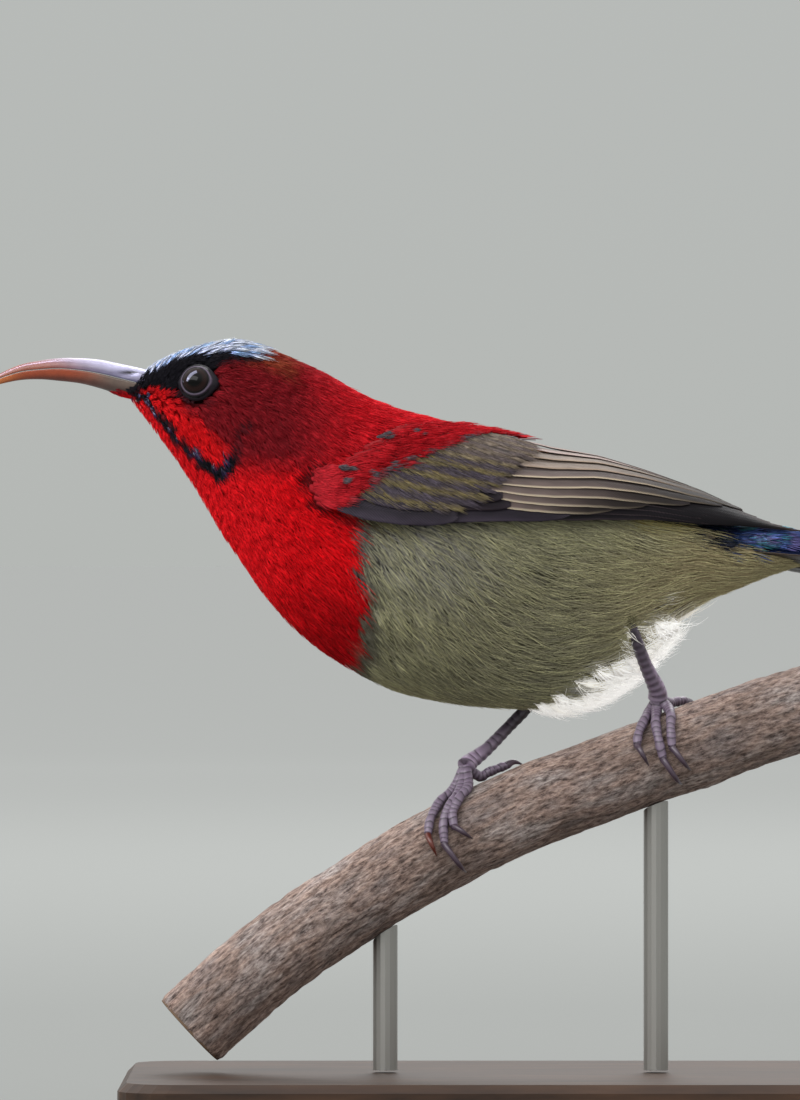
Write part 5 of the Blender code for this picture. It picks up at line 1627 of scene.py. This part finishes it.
def face_out(obj):
    """Turns a closed mesh's faces outwards."""
    work = bmesh.new()
    work.from_mesh(obj.data)
    if work.calc_volume(signed=True) < 0:
        bmesh.ops.reverse_faces(work, faces=work.faces)
    work.to_mesh(obj.data)
    work.free()


# Perch, legs and feet


def perch_table():
    """The branch's middle line in fine steps, how far along it each step is, and the slope there."""
    rows = spline(PERCH, 200)
    return rows, path_length(rows), unit(np.gradient(rows, axis=0))


PERCH_ROWS, PERCH_RUN, PERCH_SLOPE = perch_table()


def perch_line(run, columns):
    """The branch's middle line, or its slope, as points in the plane y = 0."""
    x, z = (np.interp(run, PERCH_RUN, columns[:, k]) for k in (0, 1))
    return np.stack([x, np.zeros_like(x), z], -1)


def perch_point(run, degrees, clear):
    """A point off the perch by clear, at an angle round it from the top towards the bird's left."""
    middle, slope = perch_line(run, PERCH_ROWS), perch_line(run, PERCH_SLOPE)
    angle = np.radians(degrees)
    radius = PERCH_RADIUS + clear
    x = middle[..., 0] - slope[..., 2] * np.cos(angle) * radius
    z = middle[..., 2] + slope[..., 0] * np.cos(angle) * radius
    return np.stack([x, -np.sin(angle) * radius + 0 * x, z], -1)


def bark_relief(run, degrees):
    """Height of the bark: deep fissures, fine roughness and broad lumps."""
    height = np.zeros(run.shape)
    for place, along in np.ndenumerate(run):
        angle = math.radians(degrees[place])
        c, s = math.cos(angle), math.sin(angle)
        fissure = 1 - abs(noise.noise(Vector((along * 0.2, c * 4.6, s * 4.6)))) * 2
        fine = noise.noise(Vector((along * 0.6, c * 11, s * 11)))
        lumps = noise.noise(Vector((along * 0.12, c * 1.2 + 9, s * 1.2)))
        height[place] = -0.34 * max(0.0, fissure - 0.55) + 0.10 * fine + 0.16 * lumps
    return height


def bark_material():
    """Streaky grey-brown bark, from the attributes that run along and round the branch."""
    made, tree, shader, source = new_material("bark", 0.85)
    grain = tree.nodes.new("ShaderNodeCombineXYZ")
    for key, socket in zip(("Along", "Over", "Aside"), grain.inputs):
        tree.links.new(attribute_node(tree, key), socket)
    streaks = noise_node(tree, 2.8, 9, grain.outputs["Vector"], 0.72)
    patches = noise_node(tree, 0.33, 4, grain.outputs["Vector"])
    ground = ramp_node(tree, streaks, BARK_TONES)
    warm = ramp_node(tree, patches, BARK_PATCHES)
    tint(tree, shader, multiply(tree, ground, warm, 0.8), source, 1.0)
    bump(tree, shader, streaks, 0.9, 0.00045)
    return made


def make_perch():
    """The cut branch: cracked, streaky bark with a knot, and sawn ends."""
    rings, around = 320, 150
    last = PERCH_RUN[-1]
    run, degrees = np.meshgrid(
        np.linspace(0, last, rings), np.linspace(0, 360, around, endpoint=False), indexing="ij"
    )
    height = bark_relief(run, degrees)
    centre = perch_line(run, PERCH_ROWS)
    inward = smoothstep(0.6, 0.0, np.minimum(run, last - run)) * 0.25 * 0.15
    points = mix(perch_point(run, degrees, height - 0.06), centre, inward[..., None])
    turn = (degrees + 180) % 360 - 180
    knot = np.exp(-(((run - last * KNOT_RUN) / 2.2) ** 2) - ((turn - KNOT_DEGREES) / 22) ** 2)
    points = points + (points - centre) * (knot * 0.16)[..., None]
    angle = np.radians(degrees)
    # Darker down in the fissures; the branch's top is lightened by a painted highlight of the sky.
    tone = (0.78 + height * 1.3) * (1 + 0.4 * smoothstep(0.4, 1.0, np.cos(angle)))
    tone = np.clip(tone, 0.3, 1.3)[..., None] * np.ones(3)
    over, aside = PERCH_RADIUS * np.cos(angle), PERCH_RADIUS * np.sin(angle)
    grain_at = {"Along": run * 0.34, "Over": over, "Aside": aside}
    bake = np.stack([0.02 + 0.96 * run / last, 0.02 + 0.9 * degrees / 360], -1)
    bark = strips_object("branch_bark", points[None], tone[None], bark_material(), bake[None], grain_at)
    settle(bark, "perch", "perch")
    wood, tree, shader, _ = new_material("sawn_wood", 0.8)
    bump(tree, shader, noise_node(tree, 1500, 5), 0.5, 0.0001)
    make_sawn_end("low", 0.0, -1, wood)
    make_sawn_end("high", last, 1, wood)


def make_sawn_end(name, run, outward, material):
    """A thin disc with year rings, pith and bark's edge on one end of the branch."""
    turns = np.linspace(0, 360, 96, endpoint=False)
    share, degrees = np.meshgrid(np.linspace(0.02, 0.955, 40), turns, indexing="ij")
    run = np.full(share.shape, run)
    middle = perch_point(run, degrees, -PERCH_RADIUS + 1e-6)
    slope = perch_line(run, PERCH_SLOPE) * outward * 0.05
    face = mix(middle, perch_point(run, degrees, 0.0), share[..., None]) + slope * 1.5
    back = (face - slope * 6)[::-1]
    turn = np.radians(degrees)
    years = 0.5 + 0.5 * np.sin(share * 46 + 0.9 * np.sin(turn * 2 + 1) + 0.3 * np.sin(turn * 5))
    colour = mix(linear(SAWN_PALE), linear(SAWN_YEAR), years[..., None] * 0.7)
    colour = mix(colour, linear(SAWN_RIM), smoothstep(0.86, 0.95, share)[..., None])
    colour = mix(colour, linear(SAWN_PITH), smoothstep(0.10, 0.03, share)[..., None])
    points, shade = np.concatenate([face, back]), np.concatenate([colour, colour[::-1]])
    disc = strips_object(f"branch_end_{name}", points[None], shade[None], material)
    face_out(disc)
    settle(disc, "perch")


def sweep(path, radii, around, flat, guide):
    """Sections round a path of points, with a radius array of rings by points round."""
    ahead = unit(np.gradient(path, axis=0))
    across = unit(np.cross(ahead, guide))
    up = np.cross(across, ahead)
    turn = np.linspace(0, 2 * math.pi, around, endpoint=False)[None]
    offset = np.cos(turn)[..., None] * across[:, None] + np.sin(turn)[..., None] * up[:, None] * flat
    return path[:, None] + offset * radii[..., None]


def scaled_limb(path, radius, scute, guide, rise):
    """Sections and colours of a limb with overlapping scutes on its upper side and small pads beneath."""
    rings, around = 130, 28
    path = spline(path, rings)
    run = path_length(path)[:, None]
    turn = np.linspace(0, 2 * math.pi, around, endpoint=False)[None]
    radius = np.interp(np.linspace(0, 1, rings), np.linspace(0, 1, len(radius)), radius)[:, None]
    wander = 0.12 * np.sin(2 * turn + run) + 0.3 * np.sin(run * 1.7 + path[0, 2])
    phase = (run / scute + wander) % 1.0
    step = np.minimum(1.0, np.minimum(0.45 + phase, (1 - phase) / 0.16))
    upper = smoothstep(-0.5, 0.3, np.sin(turn))
    pads = 0.5 + 0.5 * np.sin(run / scute * 2 * math.pi * 1.4)
    relief = rise * step * upper + rise * pads * (1 - upper)
    ends = np.minimum(np.arange(rings), np.arange(rings)[::-1])[:, None]
    round_it = radius * (0.94 + relief) * np.minimum(1.0, 0.3 + ends / 4)
    groove = smoothstep(0.14, 0.03, np.minimum(phase, 1 - phase)) * upper
    tone = 0.12 + 0.75 * upper * (0.4 + 0.6 * phase) + 0.25 * pads * (1 - upper)
    shade = np.clip(tone * (1 - 0.85 * groove), 0, 1)[..., None]
    return sweep(path, round_it, around, 1.0, guide), mix(linear(SKIN_DARK), linear(SKIN_LIGHT), shade)


def shank_of(name):
    """Sections and colours of a shank, dark at its feathered top and pale by the foot."""
    path = [(x, y * 0.84, z) for x, y, z in LEGS[name][:2]] + LEGS[name][2:] + [FEET[name]]
    section, colour = scaled_limb(path, SHANK_RADII, 1.3, np.array([0.0, 0.0, 1.0]), 0.09)
    down_it = smoothstep(0.3, 0.85, np.linspace(0, 1, len(section)))[:, None, None]
    return section, colour * mix(0.28, 1.75, down_it)


def toe_of(name, marks, home):
    """Sections and colours of a toe that lies on the bark, and which way its upper side points."""
    path = [FEET[name]] + [perch_point(home + run, turn, TOE_RADIUS + 0.12) for run, turn in marks[:-1]]
    outward = perch_point(home, marks[1][1], 1.0) - perch_point(home, marks[1][1], 0.0)
    return *scaled_limb(path, TOE_SHAPE * TOE_RADIUS, 0.72, outward, 0.07), outward


def claw_of(marks, home, arch, outward, colours):
    """Sections and colours of the curved claw at a toe's end."""
    (run, turn), (tip_run, tip_turn) = marks[-2:]
    t = np.linspace(-0.06, 1, 30)
    clear = TOE_RADIUS + 0.10 + arch * np.sin(math.pi * t.clip(0, 1)) - 0.42 * t
    spine = perch_point(home + run + (tip_run - run) * t, turn + (tip_turn - turn) * t, clear)
    thick = np.interp(t, [0, 0.5, 1], [0.42, 0.30, 0.05])[:, None] * np.ones((1, 18))
    claw = sweep(spine, thick, 18, 1.15, outward)
    tone = mix(linear(colours[0]), linear(colours[1]), t.clip(0, 1)[:, None])
    return claw, np.broadcast_to(tone[:, None], claw.shape)


def add_limbs(name, limbs, material, slot, *replaced):
    """One piece from the sections and colours of several limbs."""
    rings, shades = (np.array(values) for values in zip(*limbs))
    settle(strips_object(name, rings, shades, material), slot, *replaced)


def make_feet():
    """Shanks, toes and claws of both feet."""
    skin, tree, shader, _ = new_material("limb_skin", 0.36)
    bump(tree, shader, noise_node(tree, 3000, 4), 0.3, 0.00006)
    horn = new_material("claw_horn", 0.3, Coat_Weight=0.3, Coat_Roughness=0.2)[0]
    for name, (foot_x, _, foot_z) in FEET.items():
        home = PERCH_RUN[np.argmin(np.hypot(PERCH_ROWS[:, 0] - foot_x, PERCH_ROWS[:, 1] - foot_z))]
        toes, claws = [], []
        for toe, marks in TOES[name].items():
            section, colour, outward = toe_of(name, marks, home)
            toes.append((section, colour))
            red = name == "right" and toe == "outer"  # this claw shows reddish in the photograph
            arch = 0.4 if toe == "hind" else 0.95
            claws.append(claw_of(marks, home, arch, outward, RED_CLAW if red else DARK_CLAW))
        leg, foot = f"leg_{name}", f"foot_{name}"
        add_limbs(f"shank_{name}", [shank_of(name)], skin, leg, leg)
        add_limbs(f"toes_{name}", toes, skin, foot, foot)
        add_limbs(f"claws_{name}", claws, horn, foot)


def make_camera():
    """The photograph's camera, square to the bird's left side."""
    camera = bpy.data.cameras.new("camera")
    camera.sensor_width = 36
    camera.lens = camera.sensor_width * CAMERA_DISTANCE / CAMERA_FIELD
    camera.clip_end = 100
    viewer = bpy.data.objects.new("camera", camera)
    viewer.location = (CAMERA_CENTRE[0] * MM, -CAMERA_DISTANCE * MM, CAMERA_CENTRE[1] * MM)
    viewer.rotation_euler = (math.pi / 2, 0, 0)
    bpy.context.scene.collection.objects.link(viewer)
    bpy.context.scene.camera = viewer


def make_floor():
    """A plain pale floor, a little darker under the stand: painted shade."""
    bpy.ops.mesh.primitive_circle_add(vertices=128, radius=40, fill_type="NGON", location=(0, 0, 0))
    floor = bpy.context.object
    floor.name = "floor"
    plain, tree, shader, _ = new_material("floor_plain", 0.95, 0.0, FLOOR_GREY, Specular_IOR_Level=0.0)
    far = tree.nodes.new("ShaderNodeVectorMath")
    far.operation = "LENGTH"
    tree.links.new(object_places(tree), far.inputs[0])
    reach = math_node(tree, "MULTIPLY", far.outputs["Value"], 0.25)
    tone = ramp_node(tree, reach, FLOOR_TONES)
    tree.links.new(tone, shader.inputs["Base Color"])
    floor.data.materials.append(plain)
    return floor


def make_sky():
    """An overcast sky, brightest overhead."""
    world = bpy.data.worlds.new("studio")
    world.use_nodes = True
    tree = world.node_tree
    split = tree.nodes.new("ShaderNodeSeparateXYZ")
    tree.links.new(tree.nodes.new("ShaderNodeTexCoord").outputs["Generated"], split.inputs["Vector"])
    sky = ramp_node(tree, split.outputs["Z"], SKY_TONES)
    tree.links.new(sky, tree.nodes["Background"].inputs["Color"])
    above = math_node(tree, "MAXIMUM", math_node(tree, "SUBTRACT", split.outputs["Z"], 0.15), 0.0)
    strength = math_node(tree, "ADD", math_node(tree, "MULTIPLY", above, 0.5), 1.0)
    tree.links.new(strength, tree.nodes["Background"].inputs["Strength"])
    bpy.context.scene.world = world


def make_lamps(floor):
    """The lamps; the low ones leave the floor alone, so that no bright pool shows from the sides."""
    unlit = bpy.data.collections.new("unlit_by_low_lamps")
    unlit.objects.link(floor)
    unlit.collection_objects[0].light_linking.link_state = "EXCLUDE"
    for name, place, size, power in LAMPS:
        lamp = bpy.data.lights.new(name, "AREA")
        lamp.shape = "RECTANGLE"
        lamp.size, lamp.size_y = size
        lamp.energy = power
        holder = bpy.data.objects.new(name, lamp)
        if name in LOW_LAMPS:
            holder.visible_glossy = False
            holder.light_linking.receiver_collection = unlit
        if name in HIGHLIGHT_LAMPS:
            holder.visible_diffuse = False
            lamp.color = HIGHLIGHT_TINT
        holder.location = place
        holder.rotation_euler = (Vector((0, 0, 0.06)) - Vector(place)).to_track_quat("-Z", "Y").to_euler()
        bpy.context.scene.collection.objects.link(holder)


def aim_highlights():
    """The two highlight lamps reach the eyes, the bill and the metallic feathers alone."""
    reached = bpy.data.collections.new("highlit")
    for piece in list(bpy.data.objects):
        if piece.name.startswith(("eyeball_", "coat_metallic")) or piece.name.endswith("_horn"):
            reached.objects.link(piece)
    for name in HIGHLIGHT_LAMPS:
        bpy.data.objects[name].light_linking.receiver_collection = reached


def stretched(tree, scale):
    """Object coordinates scaled by axis, so that a noise on them runs along one."""
    mapping = tree.nodes.new("ShaderNodeMapping")
    mapping.inputs["Scale"].default_value = scale
    tree.links.new(object_places(tree), mapping.inputs["Vector"])
    return mapping.outputs["Vector"]


def dress(names, material):
    for name in names:
        materials = frame["nodes"][name].data.materials
        materials.clear()
        materials.append(material)


def dress_stand():
    """Satin dark wood on the base and brushed steel on the rods."""
    wood, tree, shader, _ = new_material("stand_wood", 0.48, 0.0, STAND_WOOD, Specular_IOR_Level=0.35)
    along = stretched(tree, (0.12, 1.0, 1.0))
    grain = noise_node(tree, 420, 8, along, 0.62)
    ground = ramp_node(tree, grain, STAND_GRAIN)
    patches = noise_node(tree, 60, 3, along)
    broad = ramp_node(tree, patches, [(0.35, (205, 205, 205)), (0.65, (255, 255, 255))])
    tint(tree, shader, ground, broad, 0.8)
    bump(tree, shader, grain, 0.15, 0.0001)
    dress(["stand_base"], wood)
    steel, tree, shader, _ = new_material("stand_steel", 0.45, 1.0, STAND_STEEL)
    bump(tree, shader, noise_node(tree, 4000, 3, stretched(tree, (1.0, 1.0, 0.02))), 0.12, 0.00005)
    dress(["stand_rod_front", "stand_rod_rear"], steel)


# Stage

CAMERA_DISTANCE, CAMERA_FIELD = 1200.0, 134.1
CAMERA_CENTRE = (-12.2, 70.7)  # x, z
LAMPS = (  # name, place and size in metres, power in watts
    ("key", (-0.75, -0.85, 0.95), (1.7, 0.7), 14.5),
    ("fill", (0.7, -1.2, 0.06), (1.4, 0.6), 4.0),
    ("front", (-1.0, -0.6, 0.04), (0.7, 0.4), 3.4),
    ("back", (0.25, 0.9, 1.1), (0.8, 0.8), 9.0),
    ("rim", (0.75, 0.45, 0.12), (0.4, 0.4), 5.0),
    ("catch", (-1.3, -0.2, 0.6), (0.35, 0.45), 14.0),
    ("sheen", (-0.8, -0.15, 1.1), (0.55, 1.5), 55.0),
)
LOW_LAMPS = ("fill", "front", "rim")
HIGHLIGHT_LAMPS = ("catch", "sheen")


def make_stage():
    """A plain floor under an overcast sky, seen by the photograph's camera."""
    bpy.context.scene.view_settings.view_transform = "Standard"
    make_camera()
    floor = make_floor()
    make_sky()
    make_lamps(floor)


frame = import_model()
make_stage()
eye_spots = eye_places()
make_skin()
make_body_coat(eye_spots)
make_chin()
make_thighs()
make_wings()
make_tail()
make_bill()
make_eyes(eye_spots)
make_perch()
make_feet()
aim_highlights()
dress_stand()
